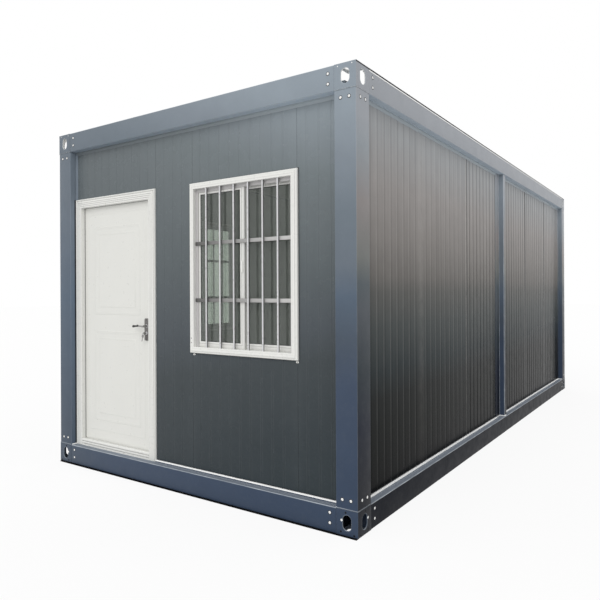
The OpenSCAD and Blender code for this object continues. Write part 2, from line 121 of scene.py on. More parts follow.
@dataclass(frozen=True)
class Plane:
    """A vertical plane: s runs along it, d stands out of it and z is the height.

    A point is origin + s * along + d * outward + z * up.
    """

    origin: Array
    along: Array
    outward: Array

    def place(self, s: Array, d: Array, z: Array) -> Array:
        """Turns distances along and out of the plane, and heights, into points."""
        s, d, z = np.broadcast_arrays(s, d, z)
        return (self.origin + s[..., None] * self.along + d[..., None] * self.outward
                + z[..., None] * UP)

    def span(self, box: Box) -> tuple[float, float]:
        """Returns the lowest and highest distance of a box along the plane."""
        return tuple(sorted(float(corner @ self.along) for corner in (box.low, box.high)))

    def reach(self, box: Box) -> tuple[float, float]:
        """Returns the lowest and highest distance of a box out of the plane."""
        return tuple(sorted(float((corner - self.origin) @ self.outward)
                            for corner in (box.low, box.high)))


class Side(Enum):
    """The sides of the house, as the directions along and out of each one."""

    FRONT = ((1, 0, 0), (0, -1, 0))
    RIGHT = ((0, 1, 0), (1, 0, 0))
    REAR = ((-1, 0, 0), (0, 1, 0))
    LEFT = ((0, -1, 0), (-1, 0, 0))

    def plane(self, box: Box) -> Plane:
        """Returns the plane of this side on which a box's outermost face lies.

        Args:
            box: what the plane lies on.

        Returns:
            The plane.
        """
        along, outward = (np.array(v, float) for v in self.value)
        reach = max(box.low @ outward, box.high @ outward)
        return Plane(reach * outward, along, outward)

    @classmethod
    def facing(cls, box: Box) -> "Side":
        """Returns the side that a wall's slab belongs to, by its thin direction."""
        if box.size[0] < box.size[1]:
            return cls.RIGHT if box.centre[0] > 0 else cls.LEFT
        return cls.REAR if box.centre[1] > 0 else cls.FRONT


def solid_boxes(node: str) -> list[Box]:
    """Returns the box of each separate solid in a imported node, low corners first.

    Vertices at one place share a number, and every triangle hands its lowest number to its
    corners until nothing changes, so each solid ends with one number.

    Args:
        node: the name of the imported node.

    Returns:
        One box for each solid.
    """
    mesh = frame["nodes"][node].data
    points = np.empty(len(mesh.vertices) * 3)
    mesh.vertices.foreach_get("co", points)
    points = points.reshape(-1, 3)
    mesh.calc_loop_triangles()
    tris = np.empty(len(mesh.loop_triangles) * 3, dtype=int)
    mesh.loop_triangles.foreach_get("vertices", tris)
    places, number = np.unique(np.round(points, 5), axis=0, return_inverse=True)
    tris = number.reshape(-1)[tris.reshape(-1, 3)]
    label = np.arange(len(places))
    while True:
        lowest = np.broadcast_to(label[tris].min(axis=1)[:, None], tris.shape)
        new = label.copy()
        np.minimum.at(new, tris, lowest)
        new = new[new]
        if np.array_equal(new, label):
            break
        label = new
    groups = [places[label == value] for value in np.unique(label)]
    return sorted((Box(g.min(0), g.max(0)) for g in groups), key=lambda b: tuple(b.low))


def linked(name: str, data: bpy.types.ID) -> bpy.types.Object:
    """Returns a new object for a mesh, a camera or a lamp, linked to the scene.

    Args:
        name: the object's name.
        data: what it shows.

    Returns:
        The new object.
    """
    obj = bpy.data.objects.new(name, data)
    bpy.context.scene.collection.objects.link(obj)
    return obj


# ---- outlines

def arc(centre: tuple, radius: float, start: float, end: float, steps: int = 6) -> Array:
    """Returns rows of (x, y) on a circular arc between two angles in degrees."""
    t = np.radians(np.linspace(start, end, steps))
    return np.stack([centre[0] + radius * np.cos(t), centre[1] + radius * np.sin(t)], axis=1)


def round_rect(x0: float, x1: float, y0: float, y1: float, radius: float,
               steps: int = 6) -> tuple[Array, Array]:
    """Returns a rectangle with round corners, and how far each point is round a corner.

    Each corner is a quarter circle. The second array is sin(pi * share) along it, which is 0
    where the flat sides start.

    Args:
        x0: the left edge.
        x1: the right edge.
        y0: the lower edge.
        y1: the upper edge.
        radius: the corners' radius.
        steps: number of points on each corner.

    Returns:
        Rows of (x, y), and a number for each row.
    """
    low, high, left, right = y0 + radius, y1 - radius, x0 + radius, x1 - radius
    outline = np.concatenate([arc((right, high), radius, 0, 90, steps),
                              arc((left, high), radius, 90, 180, steps),
                              arc((left, low), radius, 180, 270, steps),
                              arc((right, low), radius, 270, 360, steps)])
    return outline, np.tile(np.sin(np.pi * np.linspace(0, 1, steps)), 4)


def folded_sheet(corners: list, thickness: float, bend: float,
                 steps: int = 6) -> tuple[Array, Array]:
    """Returns the outline of a sheet folded along a line of corners.

    Each inner corner becomes an arc of the bend radius on the sheet's middle line, and the
    outline runs half the thickness to either side of that line. The second array is
    sin(pi * share) along each fold, and 0 on the flats.

    Args:
        corners: rows of (u, v) along the middle of the sheet.
        thickness: the sheet's thickness.
        bend: the radius of the middle line at each fold.
        steps: number of points on each fold.

    Returns:
        Rows of (u, v), and a number for each row.
    """
    corners = np.asarray(corners, float)
    before, at, after = corners[:-2], corners[1:-1], corners[2:]
    a = (before - at) / np.linalg.norm(before - at, axis=1, keepdims=True)
    b = (after - at) / np.linalg.norm(after - at, axis=1, keepdims=True)
    half = np.arccos(np.clip((a * b).sum(1), -1, 1)) / 2
    middle = (a + b) / np.linalg.norm(a + b, axis=1, keepdims=True)
    centre = at + middle * (bend / np.sin(half))[:, None]
    reach = (bend / np.tan(half))[:, None]
    first, last = at + a * reach - centre, at + b * reach - centre
    share = np.linspace(0, 1, steps)
    t = share[None, :, None]
    swing = (np.pi - 2 * half)[:, None, None]
    curve = (np.sin((1 - t) * swing) * first[:, None] + np.sin(t * swing) * last[:, None])
    curve = centre[:, None] + curve / np.sin(swing)
    line = np.concatenate([corners[:1], curve.reshape(-1, 2), corners[-1:]])
    folds = np.concatenate([[0], np.tile(np.sin(np.pi * share), len(at)), [0]])
    ends = np.stack([line[1] - line[0], line[-1] - line[-2]])
    ends = ends[:, ::-1] * (-1, 1) / np.linalg.norm(ends, axis=1, keepdims=True)
    radial = (curve - centre[:, None]).reshape(-1, 2)
    side = np.repeat(np.sign(a[:, 0] * b[:, 1] - a[:, 1] * b[:, 0]), steps)[:, None]
    shift = np.concatenate([ends[:1], side * radial / bend, ends[1:]]) * thickness / 2
    outline = np.concatenate([line + shift, (line - shift)[::-1]])
    return outline, np.concatenate([folds, folds[::-1]])


# ---- surfaces

def quads(rows: int, cols: int, wrap_u: bool = False, wrap_v: bool = False) -> Array:
    """Returns the quads of a grid of rows by columns, as rows of four vertex numbers.

    Args:
        rows: number of rows.
        cols: number of columns.
        wrap_u: whether the last row meets the first.
        wrap_v: whether the last column meets the first.

    Returns:
        An array of shape (quads, 4).
    """
    i = np.arange(rows if wrap_u else rows - 1)
    j = np.arange(cols if wrap_v else cols - 1)
    ii, jj = (g.ravel() for g in np.meshgrid(i, j, indexing="ij"))
    i2, j2 = (ii + 1) % rows, (jj + 1) % cols
    return np.stack([ii * cols + jj, ii * cols + j2, i2 * cols + j2, i2 * cols + jj], axis=1)


def spread(value: Array | float, count: int) -> Array:
    """Returns a row of numbers, from one number for all or from as many."""
    return np.broadcast_to(np.asarray(value, float).ravel(), count)


class Surface:
    """Patches of vertices and faces that are gathered into one mesh piece."""

    def __init__(self) -> None:
        """Starts empty."""
        self.points: list[Array] = []
        self.light_and_grime: list[Array] = []
        self.faces: list[Array] = []
        self.slots: list[Array] = []
        self.count = 0

    def add(self, points: Array, faces: list, slot: int | Array = 0, light_and_grime: Array | float = 0.0,
            at: Array | None = None) -> None:
        """Adds a patch, once or at several places.

        Args:
            points: vertices, in an array whose last axis is (x, y, z).
            faces: arrays of vertex numbers, each of shape (faces, corners).
            slot: the material slot, or one for each face of the first array.
            light_and_grime: each vertex's mark of painted highlight, painted shade and dirt.
            at: rows of offsets, one for each copy.
        """
        points = np.asarray(points, float).reshape(-1, 3)
        at = np.zeros((1, 3)) if at is None else np.asarray(at, float).reshape(-1, 3)
        n = len(points)
        base = self.count + n * np.arange(len(at))
        self.points.append((at[:, None] + points).reshape(-1, 3))
        self.light_and_grime.append(np.tile(spread(light_and_grime, n), len(at)))
        for k, block in enumerate(faces):
            block = np.atleast_2d(block)
            self.faces.append((block[None] + base[:, None, None]).reshape(-1, block.shape[1]))
            own = np.broadcast_to(slot if k == 0 else np.min(slot), len(block))
            self.slots.append(np.tile(own, len(at)))
        self.count += n * len(at)

    def loft(self, rings: Array, slot: int | Array = 0, light_and_grime: Array | float = 0.0,
             at: Array | None = None, closed: bool = False) -> None:
        """Adds a skin over rings of points, closed at both ends or on itself.

        Args:
            rings: points of shape (rings, points round each one, 3).
            slot: the material slot, or one for each quad.
            light_and_grime: each point's mark of painted highlight, painted shade and dirt.
            at: rows of offsets, one for each copy.
            closed: whether the last ring meets the first.
        """
        rows, sides = rings.shape[:2]
        n = rows * sides
        caps = [] if closed else [np.arange(sides), np.arange(n - 1, n - sides - 1, -1)]
        self.add(rings, [quads(rows, sides, closed, True), *caps], slot, light_and_grime, at)

    def prism(self, outline: Array, start: Array, u: Array, v: Array, run: Array,
              slot: int | Array = 0, light_and_grime: Array | float = 0.0,
              at: Array | None = None) -> None:
        """Adds an outline carried along a straight run and closed at both ends.

        A vertex is start + outline_u * u + outline_v * v, and again with run added.

        Args:
            outline: rows of (u, v) round the section.
            start: the section's origin.
            u: the direction of the first coordinate.
            v: the direction of the second coordinate.
            run: the vector from one end to the other.
            slot: the material slot, or one for each side of the outline.
            light_and_grime: each outline point's mark of painted highlight, painted shade and
                dirt.
            at: rows of offsets, one for each copy.
        """
        outline = np.asarray(outline, float)
        near = start + outline[:, :1] * u + outline[:, 1:] * v
        self.loft(np.stack([near, near + run]), slot,
                  np.tile(spread(light_and_grime, len(outline)), 2), at)

    def shell(self, front: Array, back: Array, slot: int = 0) -> None:
        """Adds a closed slab between two grids of points of one shape.

        Both grids become faces, and a band of quads closes the rim between them.

        Args:
            front: the outer grid, of shape (rows, columns, 3).
            back: the inner grid, of the same shape.
            slot: the material slot.
        """
        rows, cols = front.shape[:2]
        n = rows * cols
        index = np.arange(n).reshape(rows, cols)
        rim = np.concatenate([index[:-1, 0], index[-1, :-1], index[:0:-1, -1],
                              index[0, :0:-1]])
        after = np.roll(rim, -1)
        face = quads(rows, cols)
        band = np.stack([rim, after, after + n, rim + n], axis=1)
        self.add(np.concatenate([front.reshape(-1, 3), back.reshape(-1, 3)]),
                 [np.concatenate([face, face[:, ::-1] + n, band])], slot)

    def ring(self, profile: Array, rect: tuple, plane: Plane, slot: int = 0,
             light_and_grime: Array | float = 0.0) -> None:
        """Adds a closed profile carried round a rectangle, with mitred corners.

        Args:
            profile: rows of (a, d): a is the distance out from the rectangle's edge, and d
                the distance out of the plane.
            rect: (s0, s1, z0, z1) on the plane.
            plane: the plane that it lies on.
            slot: the material slot.
            light_and_grime: each profile point's mark of painted highlight, painted shade and
            dirt, or a row of four numbers for it, one for each corner of the rectangle, from
            the lower left one round.
        """
        a, d = np.asarray(profile, float).T
        s0, s1, z0, z1 = rect
        s = np.stack([s0 - a, s1 + a, s1 + a, s0 - a])
        z = np.stack([z0 - a, z0 - a, z1 + a, z1 + a])
        light_marks = np.broadcast_to(np.transpose(light_and_grime), (4, len(a)))
        self.loft(plane.place(s, d, z), slot, light_marks, closed=True)

    def arch(self, profile: Array, rect: tuple, foot: float, plane: Plane,
             slot: int = 0, light_and_grime: Array | float = 0.0) -> None:
        """Adds a profile carried up one side of a rectangle, over its top and down again.

        Args:
            profile: rows of (a, d), as for a ring.
            rect: (s0, s1, z0, z1) on the plane.
            foot: the height at which both legs end.
            plane: the plane that it lies on.
            slot: the material slot.
            light_and_grime: each profile point's mark of painted highlight, painted shade and
                dirt.
        """
        a, d = np.asarray(profile, float).T
        s0, s1, _, z1 = rect
        s = np.stack([s0 - a, s0 - a, s1 + a, s1 + a])
        z = np.stack([a * 0 + foot, z1 + a, z1 + a, a * 0 + foot])
        self.loft(plane.place(s, d, z), slot, np.tile(spread(light_and_grime, len(a)), 4))

    def tube(self, path: Array, radius: Array | float, normal: Array, sides: int = 16,
             flat: float = 1.0, slot: int = 0, closed: bool = False) -> None:
        """Adds a round or oval tube along a path that lies in one plane.

        A vertex is centre + r * (cos t * side + flat * sin t * normal), where side is the
        path's direction crossed with the normal of its plane.

        Args:
            path: rows of points.
            radius: one radius, or one for each point.
            normal: the unit normal of the plane that holds the path.
            sides: number of points round the tube.
            flat: thickness along the normal, as a share of the radius.
            slot: the material slot.
            closed: whether the path's end meets its start.
        """
        radius = spread(radius, len(path))[:, None, None]
        if closed:
            step = np.roll(path, -1, 0) - np.roll(path, 1, 0)
        else:
            step = np.gradient(path, axis=0)
        side = np.cross(step, normal)
        side /= np.linalg.norm(side, axis=1, keepdims=True)
        t = np.linspace(0, 2 * np.pi, sides, endpoint=False)[None, :, None]
        turn = np.cos(t) * side[:, None] + flat * np.sin(t) * normal
        self.loft(path[:, None] + radius * turn, slot, closed=closed)

    def revolve(self, profile: Array, axis: Array, at: Array, segments: int = 20,
                slot: int = 0) -> None:
        """Adds copies of a profile turned about an axis and closed at both ends.

        A vertex is place + h * axis + r * (cos t * side + sin t * up).

        Args:
            profile: rows of (r, h), from one end of the axis to the other.
            axis: the unit axis.
            at: rows of places, one for each copy.
            segments: number of steps round the axis.
            slot: the material slot.
        """
        r, h = np.asarray(profile, float).T[:, :, None, None]
        side = np.cross(UP if abs(axis[2]) < 0.9 else AXIS_X, axis)
        side /= np.linalg.norm(side)
        t = np.linspace(0, 2 * np.pi, segments, endpoint=False)[None, :, None]
        turn = np.cos(t) * side + np.sin(t) * np.cross(axis, side)
        self.loft(h * axis + r * turn, slot, at=at)

    def piece(self, name: str, body: Body, materials: list, slot: str,
              smooth: float = 30.0) -> bpy.types.Object:
        """Makes the mesh object, points its faces outwards and lets it ride on a body.

        Args:
            name: the piece's name.
            body: the body that carries it.
            materials: one material for each slot number that is used.
            slot: the record's material slot; not used.
            smooth: the sharpest angle, in degrees, that is shaded smooth.

        Returns:
            The new object.
        """
        mesh = bpy.data.meshes.new(name)
        faces = [row for block in self.faces for row in block.tolist()]
        mesh.from_pydata(np.concatenate(self.points).tolist(), [], faces)
        mesh.polygons.foreach_set("material_index", np.concatenate(self.slots).astype(np.int32))
        # The attribute carries the painted highlights, painted shade and dirt that the finishes
        # show.
        light_and_grime = mesh.attributes.new("light_and_grime", "FLOAT", "POINT")
        light_and_grime.data.foreach_set("value", np.concatenate(self.light_and_grime).astype(np.float32))
        work = bmesh.new()
        work.from_mesh(mesh)
        bmesh.ops.remove_doubles(work, verts=work.verts, dist=MERGE)
        bmesh.ops.recalc_face_normals(work, faces=work.faces)
        work.to_mesh(mesh)
        work.free()
        for material in materials:
            mesh.materials.append(material)
        obj = linked(name, mesh)
        mesh.shade_smooth()
        mesh.set_sharp_from_angle(angle=math.radians(smooth))
        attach(obj, body.value)
        LOG.info("%s: %d faces, rides on %s", name, len(mesh.polygons), body.value)
        return obj


# ---- finishes

def tone(red: int, green: int, blue: int) -> tuple[float, float, float, float]:
    """Returns a display colour, from 0 to 255 a channel, as a linear colour.

    Args:
        red: the red channel.
        green: the green channel.
        blue: the blue channel.

    Returns:
        Red, green, blue and alpha.
    """
    share = np.array([red, green, blue]) / 255
    curve = ((share + 0.055) / 1.055) ** 2.4
    return (*np.where(share <= 0.04045, share / 12.92, curve).tolist(), 1.0)


class Nodes:
    """Short calls for the nodes of one tree."""

    def __init__(self, tree: bpy.types.NodeTree) -> None:
        """Starts on a tree of nodes."""
        self.tree = tree

    def put(self, socket: Socket, value: object) -> None:
        """Links a socket to another socket, or sets its value."""
        if isinstance(value, Socket):
            self.tree.links.new(value, socket)
        else:
            socket.default_value = value

    def node(self, kind: str, **inputs: object) -> bpy.types.Node:
        """Adds a node and sets its inputs, where _ in a name stands for a space.

        Args:
            kind: the node's type.
            inputs: a value or a socket for each input.

        Returns:
            The new node.
        """
        made = self.tree.nodes.new(kind)
        for key, value in inputs.items():
            self.put(made.inputs[key.replace("_", " ")], value)
        return made

    def math(self, kind: str, a: object, b: object = 0.0) -> Socket:
        """Returns the result of a math node on two values.

        Args:
            kind: the operation.
            a: the first value or socket.
            b: the second value or socket.

        Returns:
            The result's socket.
        """
        made = self.tree.nodes.new("ShaderNodeMath")
        made.operation = kind
        self.put(made.inputs[0], a)
        self.put(made.inputs[1], b)
        return made.outputs[0]

    def remap(self, value: object, low: float, high: float, to_low: float,
              to_high: float) -> Socket:
        """Returns a value moved from one range to another and held inside it."""
        return self.node("ShaderNodeMapRange", Value=value, From_Min=low, From_Max=high,
                         To_Min=to_low, To_Max=to_high).outputs[0]

    def mix(self, factor: object, a: object, b: object, kind: str = "MIX") -> Socket:
        """Returns two colours mixed by a factor.

        Args:
            factor: the share of the second colour.
            a: the first colour.
            b: the second colour.
            kind: how they blend.

        Returns:
            The colour's socket.
        """
        made = self.tree.nodes.new("ShaderNodeMix")
        made.data_type, made.blend_type = "RGBA", kind
        for key, value in (("Factor", factor), (6, a), (7, b)):
            self.put(made.inputs[key], value)
        return made.outputs[2]

    def seen(self) -> Socket:
        """Returns 1 for what the eye, a reflection or a pane looks at, and 0 for light.

        Returns:
            The number's socket.
        """
        path = self.tree.nodes.new("ShaderNodeLightPath")
        total = path.outputs["Is Camera Ray"]
        for name in ("Is Glossy Ray", "Is Transmission Ray"):
            total = self.math("MAXIMUM", total, path.outputs[name])
        return total


class Coat(Nodes):
    """One material's nodes, on the piece's own object coordinates."""

    def __init__(self, name: str) -> None:
        """Starts a material with a Principled shader.

        Args:
            name: the material's name.
        """
        self.material = bpy.data.materials.new(name)
        self.material.use_nodes = True
        super().__init__(self.material.node_tree)
        self.shader = self.tree.nodes["Principled BSDF"]
        self.place = self.tree.nodes.new("ShaderNodeTexCoord").outputs["Object"]

    def noise(self, scale: float, detail: float = 3.0, rough: float = 0.55,
              stretch: tuple = (1.0, 1.0, 1.0)) -> Socket:
        """Returns noise about a mean of one half, on coordinates scaled along each axis."""
        where = self.node("ShaderNodeMapping", Vector=self.place, Scale=stretch).outputs[0]
        return self.node("ShaderNodeTexNoise", Vector=where, Scale=scale, Detail=detail,
                         Roughness=rough).outputs[0]

    def drift(self, low: float, high: float, *noise: object) -> Socket:
        """Returns noise, made by the rest of the values, that wanders between two ends."""
        return self.remap(self.noise(*noise), 0.3, 0.7, low, high)

    def light_marks(self) -> Socket:
        """Returns the piece's mark of painted highlight, painted shade and dirt, 0 on a node
        without one.

        Returns:
            The number's socket.
        """
        made = self.tree.nodes.new("ShaderNodeAttribute")
        made.attribute_name = "light_and_grime"
        return made.outputs["Fac"]

    def axis(self, letter: str) -> Socket:
        """Returns the place along one axis of the piece."""
        return self.node("ShaderNodeSeparateXYZ", Vector=self.place).outputs[letter]

    def facing(self, letter: str) -> Socket:
        """Returns one part of the surface's own normal."""
        normal = self.tree.nodes.new("ShaderNodeTexCoord").outputs["Normal"]
        return self.node("ShaderNodeSeparateXYZ", Vector=normal).outputs[letter]

    def sideways(self) -> Socket:
        """Returns facing x times x, which is high out of a long side and low into it."""
        return self.math("MULTIPLY", self.facing("X"), self.axis("X"))

    def ramp(self, factor: object, stops: tuple) -> Socket:
        """Returns a colour read from rows of (position, colour).

        Args:
            factor: the place on the ramp.
            stops: the rows, in order.

        Returns:
            The colour's socket.
        """
        made = self.node("ShaderNodeValToRGB", Fac=factor)
        bands = made.color_ramp.elements
        while len(bands) < len(stops):
            bands.new(0.5)
        for band, (position, colour) in zip(bands, stops):
            band.position, band.color = position, colour
        return made.outputs[0]

    def shade(self, colour: object, factor: object) -> Socket:
        """Returns a colour multiplied by a number."""
        grey = self.node("ShaderNodeCombineColor", Red=factor, Green=factor, Blue=factor)
        return self.mix(1.0, colour, grey.outputs[0], "MULTIPLY")

    def bump(self, height: object, strength: float, distance: float) -> None:
        """Bumps the surface, over any bump that is there already.

        Args:
            height: the height's socket.
            strength: how much of it shows.
            distance: the depth of a full step.
        """
        made = self.node("ShaderNodeBump", Height=height, Strength=strength,
                         Distance=distance)
        normal = self.shader.inputs["Normal"]
        if normal.is_linked:
            self.tree.links.new(normal.links[0].from_socket, made.inputs["Normal"])
        self.tree.links.new(made.outputs[0], normal)

    def finish(self, **inputs: object) -> Material:
        """Sets the shader's inputs and returns the material."""
        for key, value in inputs.items():
            self.put(self.shader.inputs[key.replace("_", " ")], value)
        return self.material


ROAD_DUST = tone(150, 152, 150)
SPECKS = tone(120, 116, 108)
FOOT_SHADOW = tone(14, 15, 17)


@dataclass(frozen=True)
class CoatedSteel:
    """Coated sheet steel with a painted reflection that pales it towards the top, mottled,
    and with painted highlights along its folds.

    The bands are rows of (level, red, green, blue), a painted reflection that is darker
    low and lighter high, more so towards the right, and side_bands are those of the faces
    that look out of a long side. A positive mark shows the painted highlight colour and a
    negative one the painted shade colour. The foot is the height of the painted shadow
    line along the ground, at the left edge of the house and at the right one.
    """

    name: str
    bands: tuple
    roughness: float
    specular: float
    rubbed: tuple
    highlight_share: float
    side_bands: tuple = ()
    mottle: float = 0.03
    top_light: float = 0.0
    underside: float = 0.0
    highlight_at_foot: float = 1.0
    inner: float = 0.0
    painted_shade: tuple = (0.012, 0.013, 0.015, 1.0)
    streaks: float = 0.0
    dust: float = 0.0
    ripple: float = 0.0
    grain: float = 0.05
    foot: tuple = ()
    # slant steepens the painted reflection towards the right, a painted glare.
    slant: float = 0.35
    margin: float = 0.25

    def placed(self, bands: tuple) -> tuple:
        """Returns the bands as a ramp's positions and colours."""
        full = 1 + 2 * self.margin
        return tuple(((level + self.margin) / full, tone(*rgb)) for level, *rgb in bands)

    def level(self, n: Coat) -> Socket:
        """Returns the place on the ramp of painted reflection bands, which drifts slightly.

        The level is 0.5 + (height / house height - 0.5) * (1 + slant * x).

        Args:
            n: the material's nodes.

        Returns:
            The number's socket.
        """
        wander = n.math("MULTIPLY", n.math("SUBTRACT", n.noise(0.9, 2.0), 0.5), 0.05)
        rise = n.math("SUBTRACT", n.math("MULTIPLY", n.axis("Z"), 1 / HOUSE.size[2]), 0.5)
        slope = n.math("ADD", n.math("MULTIPLY", n.axis("X"), self.slant), 1.0)
        level = n.math("ADD", n.math("MULTIPLY", rise, slope), n.math("ADD", wander, 0.5))
        return n.remap(level, -self.margin, 1 + self.margin, 0.0, 1.0)

    def banded(self, n: Coat) -> Socket:
        """Returns the painted reflection bands' colour, with side bands, and painted light on
        top and under.

        Args:
            n: the material's nodes.

        Returns:
            The colour's socket.
        """
        level = self.level(n)
        colour = n.ramp(level, self.placed(self.bands))
        # Faces out of a long side take the side bands, a painted reflection of dark ground and
        # lighter sky.
        if self.side_bands:
            colour = n.mix(n.remap(n.sideways(), 0.5, 1.1, 0.0, 1.0), colour,
                           n.ramp(level, self.placed(self.side_bands)))
        # Upward faces are mixed towards the highlight colour, a painted light from above.
        if self.top_light:
            colour = n.mix(n.remap(n.facing("Z"), 0.6, 0.95, 0.0, self.top_light), colour,
                           self.rubbed)
        # Downward faces are made lighter, a painted light from below.
        if self.underside:
            colour = n.shade(colour, n.remap(n.facing("Z"), -0.95, -0.6,
                                             1 + self.underside, 1.0))
        return colour

    def weathered_and_lit(self, n: Coat, colour: Socket) -> Socket:
        """Returns a colour with mottle, painted reflection streaks, dust and painted light on
        inward faces.

        Args:
            n: the material's nodes.
            colour: the colour so far.

        Returns:
            The colour's socket.
        """
        colour = n.shade(colour, n.drift(1 - self.mottle, 1 + self.mottle, 7.0, 4.0))
        # The vertical streaks are a painted reflection.
        if self.streaks:
            colour = n.shade(colour, n.drift(1 - self.streaks, 1 + self.streaks, 14.0, 3.0,
                                             0.6, (1.0, 1.0, 0.05)))
        if self.dust:
            film = n.remap(n.noise(26.0, 6.0, 0.7), 0.5, 0.8, 0, self.dust)
            colour = n.mix(film, colour, ROAD_DUST)
        # Inward faces are made lighter, a painted light.
        if self.inner:
            colour = n.shade(colour, n.remap(n.sideways(), -1.1, -0.6, 1 + self.inner, 1.0))
        return colour

    def lit_edges_and_foot_shadow(self, n: Coat, colour: Socket) -> Socket:
        """Returns a colour with painted highlights and shade by its marks, and painted shadow
        at the foot.

        Args:
            n: the material's nodes.
            colour: the colour so far.

        Returns:
            The colour's socket.
        """
        # Positive marks take the highlight colour in patches: painted highlights on folds, rims
        # and rib lips.
        highlight_patches = n.remap(n.noise(9.0, 3.0), 0.35, 0.65, 0.5 * self.highlight_share, self.highlight_share)
        # The painted highlights can fade towards the ground.
        if self.highlight_at_foot < 1:
            highlight_patches = n.math("MULTIPLY", highlight_patches,
                            n.remap(n.axis("Z"), 0.3, 1.7, self.highlight_at_foot, 1.0))
        colour = n.mix(n.math("MULTIPLY", n.light_marks(), highlight_patches), colour, self.rubbed)
        # Negative marks take the painted shade colour, in grooves, beside joints and under
        # seams.
        colour = n.mix(n.remap(n.light_marks(), -1.0, 0.0, 0.9, 0.0), colour, self.painted_shade)
        # A painted shadow line along the ground, higher at the left edge than at the right.
        if self.foot:
            high = n.remap(n.axis("X"), HOUSE.low[0], HOUSE.high[0], *self.foot)
            under = n.math("SUBTRACT", high, n.axis("Z"))
            colour = n.mix(n.remap(under, 0.0, 0.003, 0.0, 0.97), colour, FOOT_SHADOW)
        return colour

    def build(self) -> Material:
        """Returns the material.

        Returns:
            The new material.
        """
        n = Coat(self.name)
        colour = self.lit_edges_and_foot_shadow(n, self.weathered_and_lit(n, self.banded(n)))
        rough = n.drift(self.roughness - 0.05, self.roughness + 0.07, 11.0, 3.0)
        if self.ripple:
            n.bump(n.noise(3.2, 2.0, 0.5, (1.0, 1.0, 0.35)), 0.12, self.ripple)
        n.bump(n.noise(420.0, 2.0), self.grain, 0.0004)
        return n.finish(Base_Color=colour, Roughness=rough,
                        Specular_IOR_Level=self.specular)


@dataclass(frozen=True)
class SmoothCoat:
    """A painted, plated or moulded surface with faint dirt and a fine texture.

    A positive mark shows painted shade and dirt. The colour turns into the right one, where
    there is one, across the right half of the house.
    """

    name: str
    colour: tuple
    roughness: float
    specular: float = 0.5
    metallic: float = 0.0
    mottle: float = 0.015
    grain: float = 300.0
    grain_depth: float = 0.0002
    dirt: float = 0.02
    shade_and_grime: tuple = tone(128, 127, 124)
    right: tuple = ()

    def build(self) -> Material:
        """Returns the material.

        Returns:
            The new material.
        """
        n = Coat(self.name)
        cloud = n.drift(1 - self.mottle, 1 + self.mottle, 6.0, 4.0)
        colour = self.colour
        if self.right:
            colour = n.mix(n.remap(n.axis("X"), 0.1, 0.9, 0.0, 1.0), colour, self.right)
        specks = n.remap(n.noise(60.0, 5.0, 0.7), 0.55, 0.75, 0, self.dirt)
        colour = n.mix(specks, n.shade(colour, cloud), SPECKS)
        # Marks darken the colour: painted shade in grooves, reveals and on the bars' sides,
        # with dirt.
        colour = n.mix(n.math("MULTIPLY", n.light_marks(), 0.7), colour, self.shade_and_grime)
        rough = n.drift(self.roughness - 0.05, self.roughness + 0.05, 40.0, 3.0)
        n.bump(n.noise(self.grain, 2.0), 0.12, self.grain_depth)
        return n.finish(Base_Color=colour, Roughness=rough, Metallic=self.metallic,
                        Specular_IOR_Level=self.specular)


@dataclass(frozen=True)
class FloatGlass:
    """A clear pane with a faint tint and a dusty film."""

    name: str = "float_glass"
    tint: tuple = tone(200, 208, 200)
    clear: float = 0.88

    def build(self) -> Material:
        """Returns the material.

        Returns:
            The new material.
        """
        n = Coat(self.name)
        film = n.drift(0.94, 1.0, 5.0, 4.0)
        rough = n.remap(n.noise(9.0), 0.35, 0.7, 0.01, 0.04)
        return n.finish(Base_Color=n.shade(self.tint, film), Roughness=rough,
                        Transmission_Weight=self.clear, IOR=1.45)


# The frame's bands are a painted reflection, and its upward, downward and inward faces get
# painted light.
FRAME_PAINT = CoatedSteel(
    "frame_paint",
    ((-0.14, 58, 71, 91), (0.20, 66, 78, 97), (0.35, 76, 86, 99), (0.50, 88, 101, 116),
     (0.62, 106, 115, 125), (0.80, 112, 122, 131), (1.00, 131, 140, 149),
     (1.16, 145, 155, 164)),
    side_bands=(
        (-0.20, 12, 16, 26), (0.05, 25, 31, 45), (0.25, 48, 56, 62), (0.45, 80, 85, 91),
        (0.55, 84, 92, 97), (0.65, 117, 119, 117), (0.85, 141, 136, 135),
        (1.05, 147, 154, 160), (1.15, 159, 163, 169)),
    roughness=0.38, specular=0.14, rubbed=tone(208, 215, 222), highlight_share=0.75, slant=0.45,
    top_light=0.25, underside=0.72, inner=0.45, dust=0.04, foot=(0.008, 0.004))

# The short walls' bands are a painted reflection, darker low and lighter high.
PANEL_PAINT = CoatedSteel(
    "panel_paint",
    ((-0.10, 53, 61, 65), (0.05, 56, 63, 67), (0.30, 68, 74, 77), (0.40, 79, 85, 90),
     (0.60, 94, 101, 104), (0.80, 108, 115, 118), (0.90, 115, 123, 126),
     (1.00, 128, 136, 141), (1.10, 142, 151, 157)),
    roughness=0.24, specular=0.12, rubbed=tone(150, 154, 156), highlight_share=0.09, mottle=0.02,
    slant=0.38, streaks=0.02, dust=0.02, ripple=0.004, grain=0.03)

# The head strips' bands are painted lighter, a painted light against the shade under the beams.
EAVES_PAINT = replace(
    PANEL_PAINT, name="eaves_paint",
    bands=((0.00, 66, 74, 78), (0.77, 113, 120, 124), (0.94, 134, 142, 146),
           (1.13, 164, 173, 179)),
    roughness=0.4, highlight_share=0.1, streaks=0.0, ripple=0.0)

